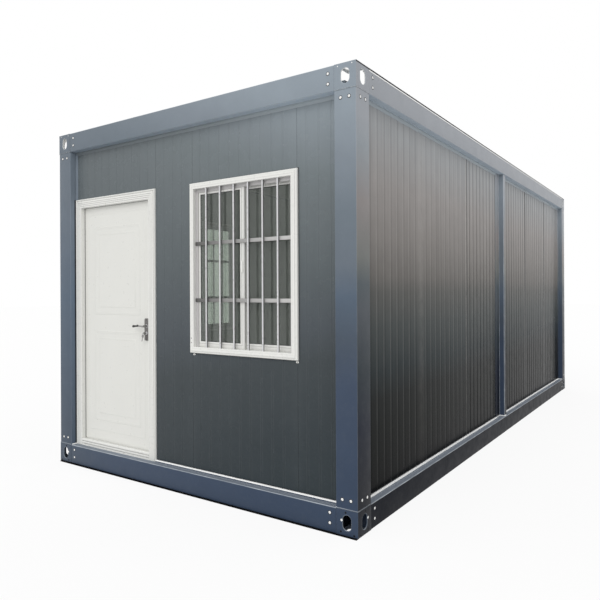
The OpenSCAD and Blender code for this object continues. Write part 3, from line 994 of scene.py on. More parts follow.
# The long walls' bands are a painted reflection of dark ground low and lighter sky high.
SIDE_PAINT = CoatedSteel(
    "side_panel_paint",
    ((-0.15, 12, 13, 14), (0.05, 28, 30, 29), (0.15, 36, 38, 38), (0.25, 50, 56, 58),
     (0.40, 75, 79, 79), (0.52, 95, 95, 93), (0.58, 113, 110, 107),
     (0.72, 135, 131, 128), (0.90, 153, 149, 147), (1.10, 161, 163, 165)),
    roughness=0.2, specular=0.03, rubbed=tone(205, 202, 198), highlight_share=0.45, highlight_at_foot=0.25,
    streaks=0.07, ripple=0.004, grain=0.02)


def made(finish: CoatedSteel | SmoothCoat | FloatGlass) -> Material:
    """Returns a field that holds the finish's own material once the palette is made."""
    return field(default_factory=finish.build)


@dataclass
class Palette:
    """Every material of the house."""

    frame: Material = made(FRAME_PAINT)
    # The long sides' bottom beams get less gloss and more painted light on their upward faces.
    low_frame: Material = made(replace(FRAME_PAINT, name="low_frame_paint", specular=0.05,
                                       top_light=0.32))
    panel: Material = made(PANEL_PAINT)
    eaves: Material = made(EAVES_PAINT)
    side_panel: Material = made(SIDE_PAINT)
    white: Material = made(SmoothCoat("white_coat", tone(253, 253, 251), 0.3, mottle=0.0,
                                      dirt=0.0))
    moulded: Material = made(SmoothCoat("white_moulded", tone(234, 234, 230), 0.3,
                                        mottle=0.008, dirt=0.0, grain_depth=0.0001))
    door_skin: Material = made(SmoothCoat("door_skin", tone(226, 226, 221), 0.32,
                                          mottle=0.008, dirt=0.0, grain_depth=0.0001))
    # The grey channel of the windows is partly a sash channel and partly painted shade.
    track: Material = made(SmoothCoat("sash_track_shade", tone(192, 190, 190), 0.4, dirt=0.0))
    lining: Material = made(SmoothCoat("inner_lining", tone(186, 189, 187), 0.5))
    core: Material = made(SmoothCoat("panel_core", tone(58, 60, 60), 0.8, grain=120.0))
    zinc: Material = made(SmoothCoat("zinc_plate", tone(240, 240, 238), 0.3, metallic=0.2,
                                     grain_depth=0.0))
    # The bars' dark marks are painted shade on their sides.
    bars: Material = made(SmoothCoat("bar_steel", tone(214, 214, 215), 0.3, metallic=0.3,
                                     dirt=0.0, grain_depth=0.0, shade_and_grime=tone(20, 20, 22)))
    flat_bars: Material = made(SmoothCoat("flat_bar_steel", tone(92, 91, 90), 0.4,
                                          metallic=0.3, dirt=0.1,
                                          right=tone(196, 195, 193)))
    lever: Material = made(SmoothCoat("lever_steel", tone(34, 33, 32), 0.3, metallic=0.3,
                                      dirt=0.05))
    plate: Material = made(SmoothCoat("lock_plate_steel", tone(112, 110, 108), 0.32,
                                      metallic=0.6, mottle=0.08, dirt=0.1))
    keys: Material = made(SmoothCoat("nickel_plate", tone(150, 149, 148), 0.25,
                                     metallic=0.7, dirt=0.05))
    dark: Material = made(SmoothCoat("dark_hole_shade", tone(24, 25, 28), 0.7, 0.2, dirt=0.0))
    rubber: Material = made(SmoothCoat("seal_rubber", tone(40, 43, 47), 0.55, 0.35))
    gasket: Material = made(SmoothCoat("grey_gasket_shade_line", tone(128, 128, 126), 0.6, 0.3))
    deck: Material = made(SmoothCoat("deck_board", tone(112, 100, 86), 0.5, grain=90.0,
                                     grain_depth=0.0006))
    glass: Material = made(FloatGlass())

    def dress(self, node: str, material: Material) -> None:
        """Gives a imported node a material, and leaves its mesh as it is.

        Args:
            node: the name of the node.
            material: what it is made of.
        """
        slots = frame["nodes"][node].data.materials
        slots.clear()
        slots.append(material)


# ---- stage

@dataclass
class Stage:
    """The pale floor, the plain light and the camera."""

    floor_half: float = 60.0
    floor_glow: float = 0.88
    floor_seen: float = 0.9
    floor_bounce: float = 0.7
    contact_width: float = 0.020
    contact_under: float = 0.010
    contact_lift: float = 0.0004
    light: float = 0.85
    lamp_strength: float = 0.9
    lamp_spread: float = 45.0
    lamp_turn: tuple = (48.0, 0.0, 12.0)
    lens: float = 33.72
    sensor: float = 36.0
    eye: tuple = (3.191, -5.780, 1.443)
    yaw: float = 31.9
    pitch: float = 0.04
    roll: float = -0.27
    shift: tuple = (-0.0818, -0.0142)

    def camera(self) -> None:
        """Makes the camera from its turn about Z, its rise and its roll."""
        yaw, pitch, roll = np.radians([self.yaw, self.pitch, self.roll])
        across = np.array([math.cos(yaw), math.sin(yaw), 0])
        ahead = np.array([-math.sin(yaw) * math.cos(pitch), math.cos(yaw) * math.cos(pitch),
                          math.sin(pitch)])
        over = np.cross(across, ahead)
        right = across * math.cos(roll) + over * math.sin(roll)
        top = over * math.cos(roll) - across * math.sin(roll)
        data = bpy.data.cameras.new("camera")
        data.lens, data.sensor_width = self.lens, self.sensor
        data.shift_x, data.shift_y = self.shift
        data.clip_end = 4 * self.floor_half
        camera = linked("camera", data)
        turn = Matrix(np.stack([right, top, -ahead], axis=1).tolist()).to_4x4()
        camera.matrix_world = Matrix.Translation(Vector(self.eye)) @ turn
        bpy.context.scene.camera = camera

    def world(self) -> None:
        """Makes a white surround that lights the object at a plain level."""
        world = bpy.data.worlds.new("surround")
        bpy.context.scene.world = world
        world.use_nodes = True
        n = Nodes(world.node_tree)
        back = n.tree.nodes["Background"]
        n.put(back.inputs["Color"], (1, 1, 1, 1))
        n.put(back.inputs["Strength"], n.remap(n.seen(), 0.0, 1.0, self.light, 1.0))

    @staticmethod
    def lay(name: str, corners: Array, material: Material) -> None:
        """Lays four-cornered sheets on the ground, as one piece of the stage.

        Args:
            name: the piece's name.
            corners: rows of corners, four to a sheet.
            material: what it is made of.
        """
        mesh = bpy.data.meshes.new(name)
        faces = np.arange(len(corners)).reshape(-1, 4)
        mesh.from_pydata(np.asarray(corners, float).tolist(), [], faces.tolist())
        mesh.materials.append(material)
        linked(name, mesh)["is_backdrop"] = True

    def floor(self) -> None:
        """Makes the pale floor, near white to the eye but still holding the shadow."""
        n = Coat("pale_floor")
        seen = n.seen()
        bounce, shown = ((grey, grey, grey, 1) for grey in (self.floor_bounce,
                                                            self.floor_seen))
        n.finish(Base_Color=n.mix(seen, bounce, shown), Roughness=0.9,
                 Specular_IOR_Level=0.0)
        blend = n.node("ShaderNodeMixShader")
        for place, value in enumerate((n.math("MULTIPLY", seen, self.floor_glow),
                                       n.shader.outputs[0],
                                       n.node("ShaderNodeEmission").outputs[0])):
            n.put(blend.inputs[place], value)
        n.put(n.tree.nodes["Material Output"].inputs["Surface"], blend.outputs[0])
        half = self.floor_half
        self.lay("floor", [(-half, -half, 0), (half, -half, 0), (half, half, 0),
                           (-half, half, 0)], n.material)

    def contact(self) -> None:
        """Makes a painted contact shadow on the floor along the foot of both short sides."""
        x, y = HOUSE.high[:2]
        near, far, z = self.contact_under - y, -y - self.contact_width, self.contact_lift
        front = np.array([(-x, near, z), (self.contact_width - x, far, z), (x, far, z),
                          (x, near, z)])
        shade = SmoothCoat("contact_shade", tone(24, 25, 27), 0.9, 0.0).build()
        self.lay("contact", np.concatenate([front, front * (-1, -1, 1)]), shade)

    def lamp(self) -> None:
        """Makes one broad lamp above the front, for a soft direction of light."""
        data = bpy.data.lights.new("soft_sun", "SUN")
        data.energy = self.lamp_strength
        data.angle = math.radians(self.lamp_spread)
        linked("soft_sun", data).rotation_euler = np.radians(self.lamp_turn).tolist()

    def build(self) -> None:
        """Makes the whole stage."""
        bpy.context.scene.view_settings.view_transform = "Standard"
        self.camera()
        self.world()
        self.floor()
        self.contact()
        self.lamp()


# ---- steel frame

@dataclass
class SteelFrame:
    """Corner fittings, folded posts and beams, and the bolts that join them."""

    palette: Palette
    sheet: float = 0.004
    fold: float = 0.003
    post_edge: float = 0.004
    seam: float = 0.0015
    seam_light_and_shade: tuple = (0.55, -0.15)
    foot_bead: float = 0.010
    skin: float = 0.0002
    edge_line: tuple = (2.7825, 2.7895)
    setback: float = 0.0016
    inset: float = 0.0005
    bottom_flange: float = 0.100
    top_flange: float = 0.045
    upstand_in: float = 0.125
    upstand_height: float = 0.100
    plate: float = 0.006
    oval: tuple = (0.030, 0.016)
    oval_steps: int = 48
    rib_half: float = 0.030
    rib_sheet: float = 0.003
    rib_fold: float = 0.0045
    washer: tuple = ((0.0125, -0.001), (0.0125, 0.0004), (0.0118, 0.0006))
    bolt_head: tuple = ((0.0088, 0.0), (0.0088, 0.0009), (0.0080, 0.0013), (0.0050, 0.0016))
    weld: float = 0.0045
    post_bolts_in: tuple = (0.050, 0.110)
    post_bolts_z: tuple = (0.212, 2.596)
    beam_bolts_in: float = 0.200
    beam_bolts_z: tuple = (0.055, 0.117, 2.694, 2.756)
    plate_holes: tuple = ((-0.009, 0.061), (-0.043, -0.057), (0.050, -0.065))
    plate_hole: tuple = ((0.0065, -0.002), (0.0065, -0.0002))
    plate_bolt: tuple = (-0.038, 0.012)
    plate_bolt_radius: float = 0.0075
    top_screws: tuple = ((0.048, 0.064), (-0.052, 0.062))
    top_screw_radius: float = 0.0038
    flush_head: tuple = ((1.0, -0.002), (1.0, -0.0003), (0.8, 0.0))
    seal_height: float = 0.009

    def oval_reach(self, t: Array) -> Array:
        """Returns the distance from an oval's middle to its edge at each angle.

        The oval is long at 90 degrees: a straight side lies at r / |cos t|, and beyond it
        the end's circle at h |sin t| + sqrt(r^2 - h^2 cos^2 t).

        Args:
            t: the angles, in radians.

        Returns:
            One distance for each angle.
        """
        r, h = self.oval
        cos, sin = np.abs(np.cos(t)), np.abs(np.sin(t))
        end = h * sin + np.sqrt(r ** 2 - (h * cos) ** 2)
        return np.where(r * sin <= h * cos, r / np.maximum(cos, 1e-9), end)

    def oval_plate(self, surface: Surface, centre: Array, u: Array, v: Array,
                   half: float, inner_slot: int = 0) -> None:
        """Adds a square plate with mitred edges and an oval hole that is long along v.

        Each row of the grid goes once round the hole at its own share of the way from the
        hole's edge to the square's edge, so the plate is closed on itself.

        Args:
            surface: what it is added to.
            centre: the middle of its face.
            u: the direction across the oval.
            v: the direction along the oval.
            half: half of the square's edge.
            inner_slot: the material slot of its back.
        """
        steps = self.oval_steps
        t = np.linspace(0, 2 * np.pi, steps, endpoint=False)
        hole = self.oval_reach(t)
        square = half / np.maximum(np.abs(np.cos(t)), np.abs(np.sin(t)))
        inner = square * (half - self.plate) / half
        reach = np.stack([hole, hole + 0.0012, hole + 0.005, square - 0.004, square, inner,
                          hole])
        depth = np.array([-0.0015, 0, 0, 0, -0.0004, -self.plate, -self.plate])
        # The marks are painted highlights on the hole's rim and the plate's edge.
        light_and_grime = np.array([0.5, 0.4, 0.0, 0.0, 0.1, 0.0, 0.0])
        n = np.cross(u, v)
        points = (centre + (reach * np.cos(t))[..., None] * u
                  + (reach * np.sin(t))[..., None] * v + depth[:, None, None] * n)
        surface.loft(points, np.repeat([0, 0, 0, 0, 0, inner_slot, inner_slot], steps),
                     np.repeat(light_and_grime, steps), closed=True)

    def plain_plate(self, surface: Surface, centre: Array, u: Array, v: Array,
                    half: float, slot: int = 0) -> None:
        """Adds a square plate with mitred edges.

        Args:
            surface: what it is added to.
            centre: the middle of its face.
            u: the direction of one edge.
            v: the direction of the other edge.
            half: half of the square's edge.
            slot: the material slot.
        """
        corner = np.array([-1.0, 1.0])
        x, y = np.meshgrid(corner, corner, indexing="ij")
        face = x[..., None] * u + y[..., None] * v
        surface.shell(centre + half * face,
                      centre + (half - self.plate) * face - self.plate * np.cross(u, v),
                      slot)

    def fittings(self) -> None:
        """Builds the eight fittings, each of mitred plates with oval holes.

        The top ones are open towards the beams, and the bottom ones are closed.
        """
        x, y, z = np.eye(3)
        for node in [n for n in frame["nodes"] if "_corner_" in n]:
            box = Box.of(node)
            half = box.size[0] / 2 - self.inset
            mid = box.centre
            sx, sy, _ = np.sign(mid)
            top = node.startswith("top")
            sz = 1 if top else -1
            surface = Surface()
            if top:
                deep, high = self.inset * 0.8, self.seal_height
                surface.prism([(0, 0), (-deep, 0), (-deep, high), (0, high)],
                              mid + sx * half * x - half * y + (half - high) * z, -sx * x, z,
                              2 * half * y, slot=1)
            # The top fittings' inner faces are white, a painted light that makes the inside
            # bright through the ovals.
            pale = 2 if top else 0
            for out, u, v in ((sx * x, sx * y, z), (sy * y, -sy * x, z), (sz * z, sz * y, -x)):
                self.oval_plate(surface, mid + half * out, u, v, half, pale)
            self.plain_plate(surface, mid - half * sz * z, -sz * x, y, half, pale)
            if not top:
                self.plain_plate(surface, mid - half * sx * x, -sx * y, z, half)
                self.plain_plate(surface, mid - half * sy * y, sy * x, z, half)
            finishes = [self.palette.frame, self.palette.rubber, self.palette.white]
            piece = surface.piece(f"{node}_plates", Body.HOUSE, finishes[:3 if top else 1],
                                  "frame_paint", smooth=40)
            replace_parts(piece, node)

    def posts(self) -> None:
        """Builds the four corner posts as tubes with round edges."""
        for node in [n for n in frame["nodes"] if n.startswith("post_")]:
            box = Box.of(node)
            low, high = box.low.copy(), box.high.copy()
            outer = box.centre > 0
            low[:2] += np.where(outer, 0, self.setback)[:2]
            high[:2] -= np.where(outer, self.setback, 0)[:2]
            outline, light_marks = round_rect(low[0], high[0], low[1], high[1], self.post_edge)
            surface = Surface()
            # The round corners get a faint painted highlight.
            surface.prism(outline, (low[2] + self.seam) * UP, AXIS_X, AXIS_Y,
                          (box.size[2] - 2 * self.seam) * UP, light_and_grime=0.15 * light_marks)
            self.weld_seam(surface, box)
            piece = surface.piece(f"{node}_tube", Body.HOUSE, [self.palette.frame],
                                  "frame_paint")
            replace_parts(piece, node)

    def weld_seam(self, surface: Surface, box: Box) -> None:
        """Adds the bead at a post's foot with a painted highlight, and the seam at its head
        painted dark as shade, on outer faces.

        Args:
            surface: what they are added to.
            box: the post's box.
        """
        bead = arc((0.0, 0.0), self.weld, 0, 90, 4)
        bead = np.concatenate([bead * (0.3, 1.0), [(0.0, 0.0)]])
        ends = ((box.low[2] + self.seam, 1.0), (box.high[2] - self.seam, -1.0))
        for plane in (side.plane(box) for side in Side):
            if plane.origin @ plane.outward < 0:
                continue
            s0, s1 = plane.span(box)
            for (z, turn), light_and_grime in zip(ends, self.seam_light_and_shade):
                surface.prism(bead * (1.0, turn), plane.place(s0, -self.setback, z),
                              plane.outward, UP, (s1 - s0) * plane.along, light_and_grime=light_and_grime)

    def beams(self) -> None:
        """Builds the eight beams as folded sheets, carried along the side they are on."""
        t, web = self.sheet / 2, self.sheet / 2 + self.setback
        for node in [n for n in frame["nodes"] if "_beam_" in n]:
            box = Box.of(node)
            plane = Side.facing(box).plane(box)
            s0, s1 = plane.span(box)
            deep = -plane.reach(box)[0]
            high = box.size[2]
            top = node.startswith("top")
            corners = [(self.bottom_flange, t), (web, t), (web, high - t), (deep, high - t)]
            if top:
                corners = [(self.top_flange, high - t), (web, high - t), (web, t), (deep, t)]
            outline, light_marks = folded_sheet(corners, self.sheet, self.fold)
            # Folds get painted highlights, full on the upper folds and faint on the lower ones.
            parts = [(outline, np.where(outline[:, 1] > high / 2, 1.0, 0.1) * light_marks)]
            if top:
                near, low, up = self.upstand_in, self.sheet, self.upstand_height
                lip = near + self.sheet
                parts.append(([(near, low), (lip, low), (lip, up), (near, up)], 0.0))
            surface = Surface()
            start = plane.place(s0 + self.seam, 0.0, box.low[2])
            for outline, light_marks in parts:
                surface.prism(outline, start, -plane.outward, UP,
                              (s1 - s0 - 2 * self.seam) * plane.along, light_and_grime=light_marks)
            low_side = node in ("bottom_beam_left", "bottom_beam_right")
            paint = self.palette.low_frame if low_side else self.palette.frame
            piece = surface.piece(f"{node}_sheet", Body.HOUSE, [paint], "frame_paint")
            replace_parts(piece, node)

    def middle_posts(self) -> None:
        """Builds the hat-shaped covers at the middle of the long walls, on white feet."""
        t = self.rib_sheet / 2
        surface = Surface()
        for box in solid_boxes("middle_posts"):
            plane = Side.facing(box).plane(box)
            s0, s1 = plane.span(box)
            wall = plane.reach(box)[0] + t
            mid, rib = (s0 + s1) / 2, self.rib_half - t
            outline, light_marks = folded_sheet(
                [(s0, wall), (mid - rib, wall), (mid - rib, -t), (mid + rib, -t),
                 (mid + rib, wall), (s1, wall)], self.rib_sheet, self.rib_fold)
            foot, length = self.foot_bead, box.size[2] - 2 * self.seam
            # The covers' folds get painted highlights; the white foot gets none.
            for start, run, slot, light_and_grime in ((0.0, foot - self.skin, 1, 0.0),
                                           (foot, length - foot, 0, light_marks)):
                surface.prism(outline, plane.place(0.0, 0.0, box.low[2] + self.seam + start),
                              plane.along, plane.outward, run * UP, slot, light_and_grime)
        piece = surface.piece("middle_post_covers", Body.HOUSE,
                              [self.palette.frame, self.palette.white], "frame_paint")
        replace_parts(piece, "middle_posts")

    def bolts(self) -> None:
        """Builds bolt heads on washers of painted shade, and bolts and holes painted as dark
        discs.
        """
        heads, marks = Surface(), Surface()
        half = Box.of("bottom_corner_front_left").size[0] / 2
        for side in Side:
            plane = side.plane(HOUSE)
            end = plane.span(HOUSE)[1]
            posts = np.outer([-1, 1], end - np.array(self.post_bolts_in)).ravel()
            beams = np.array([-1, 1]) * (end - self.beam_bolts_in)
            for s, z in ((posts, self.post_bolts_z), (beams, self.beam_bolts_z)):
                ss, zz = np.meshgrid(s, z)
                at = plane.place(ss, -self.setback, zz)
                # The dark washers are painted shade round each bolt head.
                heads.revolve(self.washer, plane.outward, at, segments=12, slot=1)
                heads.revolve(self.bolt_head, plane.outward, at, segments=12)
            s = np.array([half - end, end - half])
            # Each small hole is a dark disc, painted shade where a hole would be.
            for ds, dz in self.plate_holes:
                marks.revolve(self.plate_hole, plane.outward,
                              plane.place(s + np.sign(s) * ds, 0.0, half + dz))
            screws = [(self.plate_bolt_radius, half, *self.plate_bolt)]
            if side in (Side.FRONT, Side.REAR):
                screws += [(self.top_screw_radius, HOUSE.high[2] - half, *place)
                           for place in self.top_screws]
            for radius, z, ds, dz in screws:
                heads.revolve(np.multiply(self.flush_head, (radius, 1.0)), plane.outward,
                              plane.place(s + np.sign(s) * ds, 0.0, z + dz))
        heads.piece("frame_bolts", Body.HOUSE, [self.palette.zinc, self.palette.dark],
                    "zinc_fittings")
        marks.piece("fitting_screw_holes", Body.HOUSE, [self.palette.dark], "frame_paint")

    def edge_lines(self) -> None:
        """Builds the white line under each long side's roof seal, part seal bead, part painted
        highlight.
        """
        low, high = self.edge_line
        end = abs(Box.of("post_front_right").high[1])
        back, out = -self.setback, -self.skin
        surface = Surface()
        for side in (Side.LEFT, Side.RIGHT):
            plane = side.plane(HOUSE)
            surface.prism([(back, low), (out, low), (out, high), (back, high)],
                          plane.place(-end, 0.0, 0.0), plane.outward, UP,
                          2 * end * plane.along)
        surface.piece("roof_edge_sealant_and_highlight", Body.HOUSE, [self.palette.white], "white_trim")

    def build(self) -> None:
        """Builds and dresses the whole frame."""
        self.edge_lines()
        self.fittings()
        self.posts()
        self.beams()
        self.middle_posts()
        self.bolts()
        self.palette.dress("floor_joists", self.palette.frame)
        self.palette.dress("roof_purlins", self.palette.frame)
        self.palette.dress("roof_edge_seals", self.palette.rubber)


# ---- walls and roof

@dataclass
class PanelWalls:
    """Ribbed sandwich panels, with the strips and flashings round them."""

    palette: Palette
    pitch: float = 0.095
    groove_depth: float = 0.0025
    # A row's third number is its mark: painted highlights on the lips, painted shade in the
    # bold grooves.
    fine_groove: tuple = ((-0.013, 0, 0.0), (-0.008, 0, 1.0), (-0.0045, -1, 0.2),
                          (0.0045, -1, 0.2), (0.008, 0, 1.0), (0.013, 0, 0.0))
    bold_groove: tuple = ((-0.022, 0, 0.0), (-0.014, 0, 1.0), (-0.009, -1, 0.6),
                          (0.006, -1, -0.6), (0.012, 0, -0.4), (0.018, 0, 0.0))
    fine_joint: tuple = ((0.0012, 0, 0.3),)
    # The dark and wide joints lay painted shade beside a joint, and the light joint a painted
    # highlight.
    dark_joint: tuple = ((0.002, 0, -0.55), (0.024, 0, -0.55), (0.030, 0, 0.0))
    wide_joint: tuple = ((0.002, 0, -0.75), (0.048, 0, -0.75), (0.058, 0, 0.2),
                         (0.064, 0, 0.0))
    light_joint: tuple = ((0.002, 0, 0.75), (0.018, 0, 0.75), (0.025, 0, 0.0))
    faint_until: float = -0.98
    panel_width: float = 0.95
    plain: float = 0.004
    faint: float = 0.28
    strong: float = 0.85
    glare_panels: tuple = (-0.8, -0.2, 0.06)
    flashing: tuple = ((0.0, 0.0), (0.0, 0.012), (0.003, 0.014), (0.006, 0.014),
                       (0.011, 0.004), (0.015, 0.001), (0.015, 0.0))
    bead: tuple = (0.062, 0.010)
    bead_radius: float = 0.007
    short_lit: tuple = (0.28, 0.68)
    long_lit: tuple = (0.08, 0.71)

    def joints(self, short: bool, middle: float) -> tuple[tuple, tuple]:
        """Returns how a panel's two edges look, by where its middle lies along the house.

        Args:
            short: whether it is in a short wall.
            middle: the panel's middle along Y.

        Returns:
            The rows of its first edge and of its last one.
        """
        if short:
            return self.fine_joint, self.fine_joint
        if middle < self.faint_until - self.panel_width:
            return self.fine_joint, self.fine_joint
        if middle < self.faint_until:
            return self.fine_joint, self.light_joint
        if middle < 0:
            return self.dark_joint, self.fine_joint
        return self.wide_joint, self.fine_joint

    def panel_outline(self, s0: float, s1: float, thick: float, bold: bool, strength: float,
                      joints: tuple[tuple, tuple]) -> tuple[Array, Array, Array]:
        """Returns one panel's outline in plan, its marks and the slot of each of its sides.

        The outer face drops into a groove at every whole pitch and a half along the wall.
        A row of a groove or a joint holds the place across it, the share of the groove's
        depth, and the mark: a painted highlight where positive, painted shade where negative.

        Args:
            s0: the panel's start along the wall.
            s1: the panel's end along the wall.
            thick: the panel's thickness.
            bold: whether its grooves are the bold ones.
            strength: how deep and plain the grooves are.
            joints: the rows of its first edge and of its last one.

        Returns:
            Rows of (s, d), a wear for each and a slot for each side.
        """
        groove = np.array(self.bold_groove if bold else self.fine_groove)
        groove[:, 1:] *= strength
        joint = np.array(joints[0])
        close = np.array(joints[1])[::-1]
        first = math.ceil(s0 / self.pitch)
        last = math.floor(s1 / self.pitch) - 1
        centres = (np.arange(first, last + 1) + 0.5) * self.pitch
        centres = centres[(centres + groove[0, 0] > s0 + joint[-1, 0] + self.plain)
                          & (centres + groove[-1, 0] < s1 - close[0, 0] - self.plain)]
        count = len(centres)
        ribs = np.stack([(centres[:, None] + groove[:, 0]).ravel(),
                         np.tile(groove[:, 1], count) * self.groove_depth], axis=1)
        start = np.stack([s0 + joint[:, 0], joint[:, 1]], axis=1)
        end = np.stack([s1 - close[:, 0], close[:, 1]], axis=1)
        outline = np.concatenate([[(s0, -joint[0, 0])], start, ribs, end,
                                  [(s1, -close[-1, 0]), (s1, -thick), (s0, -thick)]])
        light_marks = np.concatenate([joint[:1, 2], joint[:, 2], np.tile(groove[:, 2], count),
                               close[:, 2], close[-1:, 2], [0, 0]])
        slot = np.zeros(len(outline), int)
        slot[-3:] = 2, 1, 2
        return outline, light_marks, slot

    def walls(self) -> None:
        """Builds every wall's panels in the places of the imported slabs."""
        low, high, lift = self.glare_panels
        for node in [n for n in frame["nodes"] if "_wall" in n]:
            short = node in ("front_wall", "rear_wall")
            outer = self.palette.panel if short else self.palette.side_panel
            materials = [outer, self.palette.lining, self.palette.core]
            surface = Surface()
            for box in solid_boxes(node):
                plane = Side.facing(Box.of(node)).plane(box)
                s0, s1 = plane.span(box)
                middle = box.centre[1]
                clear = short or middle > self.faint_until
                outline, light_marks, slot = self.panel_outline(
                    s0, s1, -plane.reach(box)[0], not short,
                    self.strong if clear else self.faint, self.joints(short, middle))
                # Panels in this stretch of the long wall get a faint painted glare on their
                # marks.
                if not short and low < middle < high:
                    light_marks = light_marks + lift
                surface.prism(outline, plane.place(0.0, 0.0, box.low[2]), plane.along,
                              plane.outward, box.size[2] * UP, slot, light_marks)
            piece = surface.piece(f"{node}_panels", Body.HOUSE, materials, "wall_panel",
                                  smooth=20)
            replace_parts(piece, node)

    def strips(self) -> None:
        """Builds the strips along the foot and the head of each wall.

        A foot strip is a painted rail with a white bead on it and a black seal on top. The
        bead lies between two shares of the strip's height.
        """
        sill = [self.palette.white, self.palette.frame, self.palette.rubber]
        for node, materials, slot in (("sill_strips", sill, "white_trim"),
                                      ("head_strips", [self.palette.eaves], "wall_panel")):
            surface = Surface()
            for box in solid_boxes(node):
                plane = Side.facing(box).plane(box)
                s0, s1 = plane.span(box)
                deep = plane.reach(box)[0]
                low, top = box.low[2], box.high[2]
                rise = top - low
                if node == "sill_strips":
                    short = box.size[0] > box.size[1]
                    foot, head = self.short_lit if short else self.long_lit
                    outline = [(deep, low), (0, low), (0, low + foot * rise),
                               (deep * 0.3, low + head * rise),
                               (deep * 0.85, low + 0.72 * rise), (deep * 0.9, top),
                               (deep, top)]
                    side = [1, 1, 0, 0, 2, 2, 2]
                else:
                    outline = [(deep, low), (0, low + 0.55 * rise), (0, top), (deep, top)]
                    side = [0, 0, 0, 0]
                surface.prism(outline, plane.place(s0, 0.0, 0.0), plane.outward, UP,
                              (s1 - s0) * plane.along, np.array(side))
            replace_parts(surface.piece(f"{node}_folded", Body.HOUSE, materials, slot), node)

    @staticmethod
    def post_edge(plane: Plane) -> float:
        """Returns how far along a wall, from its middle, the corner posts' inner faces lie."""
        post = Box.of("post_front_right")
        return min(abs(corner @ np.abs(plane.along)) for corner in (post.low, post.high))

    def ledge_highlight_beads(self) -> None:
        """Builds short white beads on the ledge by each post's foot, part seal, part painted
        highlight.

        A bead is a quarter-round section carried from the wall towards the ledge's edge.
        """
        foot = Box.of("post_front_right").low[2]
        back, front = self.bead
        bead = np.concatenate([[(0.0, 0.0)], arc((0.0, 0.0), self.bead_radius, 0, 90, 5)])
        surface = Surface()
        for plane in (side.plane(HOUSE) for side in Side):
            for sign in (-1, 1):
                surface.prism(bead, plane.place(sign * self.post_edge(plane), -back, foot),
                              -sign * plane.along, UP, (back - front) * plane.outward)
        surface.piece("ledge_sealant_and_highlight", Body.HOUSE, [self.palette.white], "white_trim")

    def flashings(self) -> None:
        """Builds the ridge that covers each end of a wall beside its corner post."""
        post, door = Box.of("post_front_right"), Box.of("door_frame")
        strip = Box.of("sill_strips")
        profile = np.array(self.flashing)
        surface = Surface()
        for side, node in ((Side.FRONT, "front_wall"), (Side.REAR, "rear_wall"),
                           (Side.RIGHT, "right_wall_front"), (Side.LEFT, "left_wall_front")):
            plane = side.plane(Box.of(node))
            end = self.post_edge(plane)
            for sign in (-1, 1):
                beside_door = side is Side.FRONT and sign < 0
                low = door.high[2] if beside_door else strip.high[2]
                outline = np.stack([sign * (end - profile[:, 0]), profile[:, 1]], axis=1)
                surface.prism(outline, plane.place(0.0, 0.0, low), plane.along,
                              plane.outward, (post.high[2] - low) * UP)
        surface.piece("corner_flashings", Body.HOUSE, [self.palette.frame], "frame_paint")

    def build(self) -> None:
        """Builds and dresses the walls."""
        self.walls()
        self.strips()
        self.ledge_highlight_beads()
        self.flashings()


@dataclass
class Roof:
    """The ribbed roof sheet, and the boards of the ceiling and the floor."""

    palette: Palette
    thickness: float = 0.003
    rib_pitch: float = 0.25
    rib_height: float = 0.009
    rib: tuple = ((-0.030, 0.0), (-0.016, 1.0), (0.016, 1.0), (0.030, 0.0))
    step: float = 0.0001

    def sheet(self) -> None:
        """Builds the roof sheet.

        Its height is edge + rise * (1 - |x| / half width), plus a rib's height wherever y
        crosses one, and it is narrower where the fittings stand beside its ends. The end
        rows cross over, so that the flats between the ribs lie in several layers.
        """
        box, post = Box.of("roof_sheet"), Box.of("post_front_right")
        half_x, half_y = box.high[:2]
        rise = box.size[2] - self.thickness
        count = int(2 * post.low[1] / -self.rib_pitch) - 1
        centres = (np.arange(count) - (count - 1) / 2) * self.rib_pitch
        rib = np.array(self.rib)
        y = (centres[:, None] + rib[:, 0]).ravel()
        lift = np.tile(rib[:, 1], count) * self.rib_height
        notch = -post.high[1]
        ends = np.array([-half_y, notch, notch + self.step])
        y = np.concatenate([ends, y, -ends[::-1]])
        lift = np.concatenate([ends * 0, lift, ends * 0])
        wide = np.where(np.abs(y) >= abs(notch) - MERGE, post.low[0], half_x)
        share = np.array([-1.0, -0.5, 0.0, 0.5, 1.0])
        x = wide[:, None] * share
        under = box.low[2] + rise * (1 - np.abs(x) / half_x)
        y = np.broadcast_to(y[:, None], x.shape)
        surface = Surface()
        surface.shell(np.stack([x, y, under + lift[:, None] + self.thickness], axis=-1),
                      np.stack([x, y, under + lift[:, None]], axis=-1))
        for sign in (-1, 1):
            ends = [(-post.low[0], box.low[2]), (post.low[0], box.low[2]),
                    (post.low[0], under[0, -1]), (0, box.low[2] + rise),
                    (-post.low[0], under[0, 0])]
            surface.prism(ends, sign * half_y * AXIS_Y, AXIS_X, UP,
                          -sign * self.thickness * AXIS_Y)
        piece = surface.piece("ribbed_roof_sheet", Body.HOUSE, [self.palette.frame],
                              "frame_paint")
        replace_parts(piece, "roof_sheet")

    def build(self) -> None:
        """Builds the sheet and dresses the boards."""
        self.sheet()
        self.palette.dress("ceiling", self.palette.white)
        self.palette.dress("floor_deck", self.palette.deck)


# ---- door

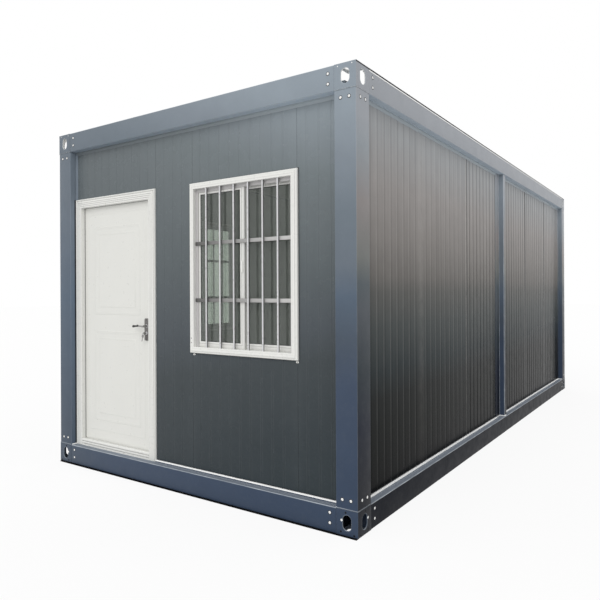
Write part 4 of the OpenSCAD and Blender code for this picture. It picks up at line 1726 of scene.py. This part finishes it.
@dataclass
class FrontDoor:
    """The door's frame, the mouldings of its leaf, its lock, its lever and its keys."""

    palette: Palette
    proud: float = 0.015
    face: float = 0.075
    sill: float = 0.055
    stop_back: float = -0.020
    frame_back: float = -0.065
    rebate: float = 0.015
    grooves: tuple = (0.014, 0.028, 0.042)
    groove_half: float = 0.0024
    groove_depth: float = 0.004
    panels: tuple = ((-1.130, -0.560, 1.275, 1.985), (-1.130, -0.560, 0.390, 1.120))
    outer_lines: tuple = (-1.215, -0.500, 0.300, 2.100)
    ridge: tuple = ((-0.012, -0.0005), (-0.009, 0.0014), (-0.004, 0.0018), (0.0, 0.0007),
                    (0.004, 0.0018), (0.009, 0.0014), (0.012, -0.0005))
    # The ridges' marks are painted shade lines at their edges and middle.
    ridge_shade: tuple = (0.06, 0.0, 0.0, 0.06, 0.0, 0.0, 0.06)
    field_inset: float = 0.055
    field_ridge: tuple = (0.6, 0.8)
    outer_ridge: tuple = (0.5, 0.6)
    gasket: tuple = ((-0.0025, -0.0249), (0.004, -0.0249), (0.004, -0.0202),
                     (-0.0005, -0.0202), (-0.0025, -0.0225))
    plate_bevel: float = 0.002
    plate_corner: float = 0.010
    neck_radius: float = 0.010
    collars: tuple = ((0.0, 0.0128), (0.055, 0.0110))
    collar_wire: float = 0.0018
    screw_in: float = 0.012
    screw: tuple = ((0.0040, -0.001), (0.0040, 0.0004), (0.0026, 0.0010))
    cylinder: tuple = ((0.0085, -0.002), (0.0085, 0.0020), (0.0075, 0.0030))
    neck_gap: float = 0.0003
    spindle_radius: float = 0.006
    post_gap_shade: tuple = (0.0006, 0.011)
    cylinder_drop: float = 0.055
    stem: float = 0.45
    grip: float = 0.006
    grip_full: float = 0.0086
    heel: float = 0.011
    key_bow: float = 0.011
    key_out: float = 0.025
    key_ring: float = 0.012
    key_wire: float = 0.0014
    key_head: float = 0.012
    key_blade: tuple = ((-0.0035, -0.004), (-0.0035, -0.036), (0.0, -0.039),
                        (0.0025, -0.036), (0.0025, -0.030), (0.0035, -0.028),
                        (0.0035, -0.004))
    key_lean: float = math.radians(-14)

    @property
    def plane(self) -> Plane:
        """The plane of the front wall's outer face."""
        return Side.FRONT.plane(Box.of("front_wall"))

    def jamb_profile(self) -> tuple[Array, Array]:
        """Returns the section of the jambs and the head, and its painted shade and dirt in the
        grooves.

        Returns:
            Rows of (a, d), and a mark of painted shade and dirt for each.
        """
        g, deep, out = self.groove_half, self.proud - self.groove_depth, self.proud
        rows = [(0.0, self.stop_back, 0.1), (0.0, out - 0.012, 0.0), (0.0, out - 0.003, 0.0),
                (0.003, out, 0.0)]
        for a in self.grooves:
            rows += [(a - g, out, 0.0), (a - g / 3, deep, 0.45), (a + g / 3, deep, 0.45),
                     (a + g, out, 0.0)]
        edge = self.face
        rows += [(edge - 0.019, out, 0.0), (edge - 0.016, 0.008, 0.4),
                 (edge - 0.014, 0.008, 0.4), (edge - 0.011, out - 0.002, 0.0),
                 (edge - 0.008, out, 0.0), (edge - 0.004, out, 0.0),
                 (edge, out - 0.006, 0.0), (edge, self.frame_back, 0.0),
                 (self.rebate, self.frame_back, 0.0), (self.rebate, self.stop_back, 0.0)]
        rows = np.array(rows)
        return rows[:, :2], rows[:, 2]

    def frame(self) -> None:
        """Builds the jambs and the head as one arch, and the threshold between them."""
        plane = self.plane
        box = Box.of("door_frame")
        s0, s1 = plane.span(box)
        rect = (s0 + self.face, s1 - self.face, box.low[2], box.high[2] - self.face)
        surface = Surface()
        profile, shade_and_grime = self.jamb_profile()
        surface.arch(profile, rect, box.low[2], plane, light_and_grime=shade_and_grime)
        foot, top, out = box.low[2], box.low[2] + self.sill, self.proud
        deep = out - 0.005
        # The threshold's marks are painted shade and dirt in its grooves and at its back edge.
        rows = [(out, foot, 0.0), (out, foot + 0.011, 0.0), (deep, foot + 0.014, 0.8),
                (deep, foot + 0.018, 0.8), (out, foot + 0.021, 0.0), (out, foot + 0.031, 0.0),
                (deep, foot + 0.034, 0.8), (deep, foot + 0.038, 0.8), (out, foot + 0.041, 0.0),
                (out, top - 0.003, 0.0), (out - 0.003, top, 0.0), (self.stop_back, top, 0.5),
                (self.stop_back, top - 0.015, 0.0), (self.frame_back, top - 0.015, 0.0),
                (self.frame_back, foot, 0.0)]
        rows = np.array(rows)
        surface.prism(rows[:, :2], plane.place(rect[0], 0.0, 0.0), plane.outward, UP,
                      (rect[1] - rect[0]) * plane.along, light_and_grime=rows[:, 2])
        piece = surface.piece("door_frame_moulded", Body.HOUSE, [self.palette.moulded],
                              "door_white")
        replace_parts(piece, "door_frame")
        # The grey gasket is partly a seal and partly a painted shadow line under the head and
        # along the jambs.
        gasket = Surface()
        gasket.arch(self.gasket, (rect[0], rect[1], top, rect[3]), top, plane)
        # The dark strip beside the post is painted shadow in the gap between the post and the
        # frame.
        x, y, z = box.low
        wide, long = self.post_gap_shade
        gasket.prism([(0, 0), (wide, 0), (wide, long), (0, long)], (x, y - long, z), AXIS_X,
                     AXIS_Y, (box.high[2] - z) * UP, slot=1)
        gasket.piece("door_gasket_and_shade_line", Body.HOUSE, [self.palette.gasket, self.palette.rubber],
                     "rubber_seal")

    def mouldings(self) -> None:
        """Builds the ridges pressed into both faces of the leaf."""
        plane = self.plane
        leaf = Box.of("door_leaf")
        back, front = plane.reach(leaf)
        turned = Plane(plane.origin + back * plane.outward, plane.along, -plane.outward)
        facing = Plane(plane.origin + front * plane.outward, plane.along, plane.outward)
        surface = Surface()
        for face in (facing, turned):
            for rect in self.panels:
                surface.ring(self.ridge, rect, face, light_and_grime=self.ridge_shade)
                surface.ring(np.multiply(self.ridge, self.field_ridge),
                             np.add(rect, np.multiply(self.field_inset, (1, -1, 1, -1))),
                             face, light_and_grime=self.ridge_shade)
            surface.ring(np.multiply(self.ridge, self.outer_ridge), self.outer_lines, face,
                         light_and_grime=self.ridge_shade)
        surface.piece("door_leaf_mouldings", Body.DOOR, [self.palette.door_skin],
                      "door_white", smooth=40)
        self.palette.dress("door_leaf", self.palette.door_skin)

    def bored_plate(self, surface: Surface, box: Box, plane: Plane, centre: Array) -> None:
        """Adds a round-cornered plate with a bore.

        The outline is read at even steps of its length, and each row of the grid lies on it,
        on it drawn in by the bevel, or on the bore at the same angle about the bore's axis.

        Args:
            surface: what it is added to.
            box: the plate's box.
            plane: the wall's plane, or the one that looks inwards.
            centre: the bore's place, as (s, z).
        """
        s0, s1 = plane.span(box)
        back, front = plane.reach(box)
        rows, _ = round_rect(s0, s1, box.low[2], box.high[2], self.plate_corner)
        loop = np.concatenate([rows, rows[:1]])
        length = np.concatenate([[0], np.linalg.norm(np.diff(loop, axis=0), axis=1).cumsum()])
        even = np.linspace(0, length[-1], 96, endpoint=False)
        edge = np.stack([np.interp(even, length, loop[:, k]) for k in (0, 1)], axis=1)
        offset = edge - centre
        t = np.arctan2(offset[:, 1], offset[:, 0])
        bore = centre + (self.neck_radius + self.neck_gap) * np.stack(
            [np.cos(t), np.sin(t)], axis=1)
        middle = np.array([(s0 + s1) / 2, box.centre[2]])
        shrink = 1 - self.plate_bevel / np.array([(s1 - s0) / 2, box.size[2] / 2])
        inset = middle + (edge - middle) * shrink
        grid = np.stack([bore, bore, inset, edge, edge])
        depth = np.array([back, front, front, front - self.plate_bevel, back])[:, None]
        surface.loft(plane.place(grid[..., 0], depth, grid[..., 1]), closed=True)

    def lock(self) -> None:
        """Builds the lock's plates, its cylinder, bright collars and the plates' screws."""
        plane = self.plane
        lever = Box.of("door_lever")
        hub = np.array([lever.high[0] - self.neck_radius, (lever.low[2] + lever.high[2]) / 2])
        surface, parts = Surface(), Surface()
        t = np.linspace(0, 2 * np.pi, 32, endpoint=False)
        for box in solid_boxes("door_lock_plates"):
            back, front = plane.reach(box)
            outer = front > plane.reach(Box.of("door_leaf"))[1]
            face = Plane(plane.origin, plane.along, plane.outward if outer else -plane.outward)
            self.bored_plate(surface, box, face, hub)
            rise = front if outer else -back
            heights = np.array([box.low[2] + self.screw_in, box.high[2] - self.screw_in])
            parts.revolve(self.screw, face.outward, face.place(hub[0], rise, heights),
                          segments=12)
            parts.revolve(self.cylinder, face.outward,
                          face.place(hub[0], rise, hub[1] - self.cylinder_drop),
                          segments=24, slot=1)
            for drop, radius in self.collars:
                ring = face.place(hub[0] + radius * np.cos(t), rise,
                                  hub[1] - drop + radius * np.sin(t))
                parts.tube(ring, self.collar_wire, face.outward, sides=8, slot=1,
                           closed=True)
        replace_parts(surface.piece("lock_plates_bevelled", Body.DOOR, [self.palette.plate],
                                  "lever_metal", smooth=40), "door_lock_plates")
        parts.piece("lock_cylinder_and_screws", Body.DOOR,
                    [self.palette.lever, self.palette.bars], "lever_metal")
        self.keys(hub)

    def keys(self, hub: Array) -> None:
        """Builds the key in the lock, its ring and the key that hangs from the ring.

        Args:
            hub: the lever's place, as (s, z).
        """
        plane = self.plane
        z = hub[1] - self.cylinder_drop
        front = max(plane.reach(b)[1] for b in solid_boxes("door_lock_plates"))
        surface = Surface()
        bow = np.concatenate([arc((0.0, 0.0), self.key_bow, 40, 320, 14),
                              [(0.024, -0.004), (0.024, 0.004)]])
        stem = front + self.key_out
        surface.prism(bow * (-1, 1), plane.place(hub[0] - 0.001, stem - 0.006, z),
                      plane.outward, UP, 0.0022 * plane.along)
        t = np.linspace(0, 2 * np.pi, 28, endpoint=False)
        ring = plane.place(hub[0] - 0.010 + self.key_ring * np.cos(t), stem - 0.002,
                           z - 0.009 + self.key_ring * np.sin(t))
        surface.tube(ring, self.key_wire, plane.outward, sides=8, closed=True)
        hang = np.concatenate([arc((0.0, 0.004), self.key_head, -60, 240, 16),
                               self.key_blade])
        cos, sin = math.cos(self.key_lean), math.sin(self.key_lean)
        turn = np.array([(cos, sin), (-sin, cos)])
        surface.prism(hang @ turn, plane.place(hub[0] - 0.018, stem - 0.004, z - 0.028),
                      plane.along, UP, 0.002 * plane.outward)
        surface.piece("door_keys", Body.DOOR, [self.palette.keys], "lever_metal", smooth=40)

    def lever(self) -> None:
        """Builds both curved grips with their necks and the spindle between them.

        A grip starts as a bright stem and goes on as a dark handle. Its middle line humps
        where the handle starts and falls towards the tip, and its radius swells at both.
        """
        plane = self.plane
        box = Box.of("door_lever")
        back, front = plane.reach(box)
        hub_s = box.high[0] - self.neck_radius
        hub_z = box.centre[2]
        grip = self.grip
        surface = Surface()
        start = hub_s + self.heel
        reach = start - box.low[0] - 0.001
        for u0, u1, slot in ((0.0, self.stem + 0.02, 1), (self.stem, 1.0, 0)):
            u = np.linspace(u0, u1, 36)
            s = start - u * reach
            hump = np.exp(-((u - self.stem - 0.06) / 0.08) ** 2)
            fall = np.clip((u - 0.65) / 0.35, 0, 1) ** 2
            z = hub_z + 0.0034 * hump - 0.0032 * fall
            swell = 0.0066 + 0.0024 * hump + 0.0030 * np.exp(-((u - 0.90) / 0.10) ** 2)
            near, away = (np.clip(1 - e / 0.05, 0, 1) for e in (u - u0, u1 - u))
            close = np.sqrt(np.clip((1 - near ** 2) * (1 - away ** 2), 0.004, 1))
            for middle in (front - grip, back + grip):
                surface.tube(plane.place(s, middle, z), swell * close, plane.outward,
                             sides=20, flat=grip / self.grip_full, slot=slot)
        plates = [plane.reach(b) for b in solid_boxes("door_lock_plates")]
        near, far = max(p[1] for p in plates), min(p[0] for p in plates)
        neck, rod = self.neck_radius, self.spindle_radius
        profile = ((0.006, front - grip), (neck * 0.8, front - 2 * grip),
                   (neck, near + 0.008), (neck, near + self.neck_gap),
                   (rod, near + self.neck_gap), (rod, far - self.neck_gap),
                   (neck, far - self.neck_gap), (neck, far - 0.008),
                   (neck * 0.8, back + 2 * grip), (0.006, back + grip))
        surface.revolve(profile, plane.outward, plane.place(hub_s, 0.0, hub_z), segments=28,
                        slot=1)
        piece = surface.piece("door_lever_curved", Body.LEVER,
                              [self.palette.lever, self.palette.keys], "lever_metal",
                              smooth=50)
        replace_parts(piece, "door_lever")

    def build(self) -> None:
        """Builds and dresses the whole door."""
        self.frame()
        self.mouldings()
        self.lock()
        self.lever()
        for node in ("door_hinge_pins", "door_hinge_knuckles"):
            self.palette.dress(node, self.palette.zinc)


# ---- windows

@dataclass
class SlidingWindow:
    """A barred window of two sashes in a moulded frame."""

    palette: Palette
    node: str
    side: Side
    wall: str
    face: float = 0.045
    lining: float = 0.033
    proud: float = 0.025
    wall_thickness: float = 0.050
    sash_rail: float = 0.040
    sash_thickness: float = 0.020
    sash_gap: float = 0.002
    seal: float = 0.005
    track: tuple = (0.024, -0.0030, -0.0055)
    lug: tuple = (0.020, 0.012, 0.004)
    lug_places: tuple = (0.030, 0.012)
    screw_places: tuple = ((-0.022, 0.030), (-0.022, 0.062))
    bar_radius: float = 0.008
    bar_out: float = 0.0115
    bar_places: tuple = (0.135, 0.287, 0.433, 0.580, 0.725, 0.870)
    flat_bar: tuple = (0.026, 0.004)
    flat_bar_places: tuple = (0.296, 0.654)

    @property
    def plane(self) -> Plane:
        """The plane of the wall's outer face."""
        return self.side.plane(Box.of(self.wall))

    def opening(self) -> tuple[float, float, float, float]:
        """Returns the frame's clear opening as (s0, s1, z0, z1).

        Returns:
            The four numbers.
        """
        box = Box.of(self.node)
        s0, s1 = self.plane.span(box)
        f = self.face
        return s0 + f, s1 - f, box.low[2] + f, box.high[2] - f

    def casing(self) -> Surface:
        """Returns the fluted frame, as a ring round the clear opening.

        Returns:
            The frame's patches.
        """
        plane = self.plane
        edge, out, lining = self.face, self.proud, self.lining
        rows = ((0.0, -self.wall_thickness, 0.5), (0.0, -0.004, 0.65), (0.0, out - 0.010, 0.45),
                (0.0, out - 0.002, 0.0), (0.002, out, 0.0), (0.011, out, 0.0),
                (0.0125, out - 0.002, 0.2), (0.0155, out - 0.002, 0.2), (0.017, out, 0.0),
                (0.028, out, 0.0), (0.030, out - 0.005, 0.25), (0.032, out - 0.007, 0.3),
                (0.034, out - 0.006, 0.0), (0.040, out - 0.006, 0.0),
                (edge - 0.002, out - 0.008, 0.0), (edge, out - 0.011, 0.0), (edge, 0.0, 0.6),
                (lining, 0.0, 0.0), (lining, -self.wall_thickness, 0.0))
        rows = np.array(rows)
        surface = Surface()
        rect = self.opening()
        # The marks are painted shade on the reveals and flutes, strongest at the head and
        # fading down the jambs.
        surface.ring(rows[:, :2], rect, plane, light_and_grime=rows[:, 2:] * (0.0, 0.0, 0.5, 0.5))
        seal = ((edge, 0.0), (edge + self.seal, 0.0), (edge + self.seal * 0.6, 0.0018),
                (edge, 0.0022))
        surface.ring(seal, rect, plane, slot=1)
        # The grey channel inside the opening is partly a sash channel and partly painted shade.
        wide, front, back = self.track
        surface.arch([(-wide, back), (0.0, back), (0.0, front), (-wide, front)], rect,
                     rect[2], plane, slot=2)
        self.lugs(surface)
        return surface

    def lugs(self, surface: Surface) -> None:
        """Adds the hold-down lugs under the lower corners, with their screws.

        Args:
            surface: what they are added to.
        """
        plane = self.plane
        s0, s1, z0, _ = self.opening()
        wide, high, deep = self.lug
        outline, _ = round_rect(-wide / 2, wide / 2, -high / 2, high / 2, 0.004)
        edge = self.face
        left, right = self.lug_places
        s = np.array([s0 - edge + left, s1 + edge - right])
        z = z0 - edge - self.seal - high / 2
        at = plane.place(s, 0.0, z)
        surface.prism(outline, np.zeros(3), plane.along, UP, deep * plane.outward, at=at)
        surface.revolve(((0.0030, deep - 0.001), (0.0030, deep + 0.0006)), plane.outward, at,
                        segments=10, slot=1)
        places = np.array(self.screw_places)
        surface.revolve(((0.0035, -0.002), (0.0035, 0.0005)), plane.outward,
                        plane.place(s0 + places[:, 0], self.proud, z0 + places[:, 1]),
                        segments=10, slot=1)

    def sash_places(self) -> list[tuple[float, float, float]]:
        """Returns (s0, s1, outer face) for the outer sash and the inner one.

        Returns:
            One row for each sash.
        """
        s0, s1, _, _ = self.opening()
        width = (s1 - s0 + self.sash_rail) / 2
        inner = -self.wall_thickness + self.sash_gap + self.sash_thickness
        outer = inner + self.sash_gap + self.sash_thickness
        return [(s0, s0 + width, outer), (s1 - width, s1, inner)]

    def sashes(self, surface: Surface) -> None:
        """Adds both sashes with their gaskets, and the latch.

        Args:
            surface: what they are added to.
        """
        plane = self.plane
        _, _, z0, z1 = self.opening()
        rail, thick = self.sash_rail, self.sash_thickness
        for s0, s1, out in self.sash_places():
            glass = (s0 + rail, s1 - rail, z0 + rail, z1 - rail)
            rows = ((0.0, out - thick + 0.004, 0.0), (0.0, out - 0.004, 0.0),
                    (0.003, out, 0.0), (0.011, out, 0.0), (0.013, out - 0.003, 0.55),
                    (0.017, out - 0.003, 0.35), (0.019, out - 0.0015, 0.1),
                    (rail - 0.006, out - 0.0015, 0.25), (rail, out - 0.003, 0.65),
                    (rail, out - thick, 0.0), (0.004, out - thick, 0.0))
            rows = np.array(rows)
            # The sash's marks are painted shade on its rails beside the frame and at the bead's
            # step.
            surface.ring(rows[:, :2], glass, plane, light_and_grime=rows[:, 2])
            gasket = ((-0.003, out - 0.0072), (0.001, out - 0.0072), (0.001, out - 0.004),
                      (-0.002, out - 0.005))
            surface.ring(gasket, glass, plane, slot=1)
        s0, s1, out = self.sash_places()[0]
        latch, _ = round_rect(s1 - 0.030, s1 - 0.012, (z0 + z1) / 2 - 0.040,
                              (z0 + z1) / 2 + 0.040, 0.006)
        surface.prism(latch, plane.place(0.0, out - 0.001, 0.0), plane.along, UP,
                      0.006 * plane.outward)

    def bars(self) -> None:
        """Builds the round bars and the two flat bars behind them.

        A round bar's mark grows from nothing at its front to full at its sides and back, which
        are painted dark as shade.
        """
        plane = self.plane
        s0, s1, z0, z1 = self.opening()
        surface = Surface()
        s = s0 + np.array(self.bar_places) * (s1 - s0)
        r = self.bar_radius
        t = np.radians(np.arange(0, 360, 18) + 9.0)
        outline = r * np.stack([np.cos(t), np.sin(t)], axis=1)
        surface.prism(outline, z0 * UP, plane.along, plane.outward, (z1 - z0) * UP,
                      light_and_grime=np.clip(1.6 - 2.0 * np.sin(t), 0, 1.3),
                      at=plane.place(s, self.bar_out, 0.0))
        high, thick = self.flat_bar
        z = z0 + np.array(self.flat_bar_places) * (z1 - z0)
        outline, _ = round_rect(-thick, 0.0, -high / 2, high / 2, 0.001, 3)
        surface.prism(outline, plane.place(s0, self.bar_out - r, 0.0), plane.outward, UP,
                      (s1 - s0) * plane.along, slot=1, at=z[:, None] * UP)
        surface.piece(f"{self.node}_bars", Body.HOUSE,
                      [self.palette.bars, self.palette.flat_bars], "window_white")

    def build(self) -> bpy.types.Object:
        """Builds the window and returns its sashes, which stand for a part of one node.

        Returns:
            The sashes' object.
        """
        piece = self.casing().piece(f"{self.node}_moulded", Body.HOUSE,
                                    [self.palette.moulded, self.palette.rubber,
                                     self.palette.track], "window_white")
        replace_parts(piece, self.node)
        self.bars()
        surface = Surface()
        self.sashes(surface)
        return surface.piece(f"{self.node}_sashes", Body.HOUSE,
                             [self.palette.moulded, self.palette.rubber], "window_white")


# ---- whole house

@dataclass
class ContainerHouse:
    """The whole house, as its sub-assemblies in order."""

    palette: Palette = field(default_factory=Palette)

    def build(self) -> None:
        """Builds and dresses every sub-assembly."""
        SteelFrame(self.palette).build()
        PanelWalls(self.palette).build()
        Roof(self.palette).build()
        FrontDoor(self.palette).build()
        sashes = [SlidingWindow(self.palette, node, side, wall).build()
                  for node, side, wall in (
                      ("front_window_frame", Side.FRONT, "front_wall"),
                      ("left_window_frame", Side.LEFT, "left_wall_front"))]
        for piece in sashes:
            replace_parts(piece, "window_sashes")
        self.palette.dress("window_panes", self.palette.glass)


def main() -> None:
    """Builds the house and its stage."""
    logging.basicConfig(level=logging.INFO, format="%(name)s: %(message)s")
    ContainerHouse().build()
    Stage().build()
    LOG.info("size written")


if __name__ == "__main__":
    main()
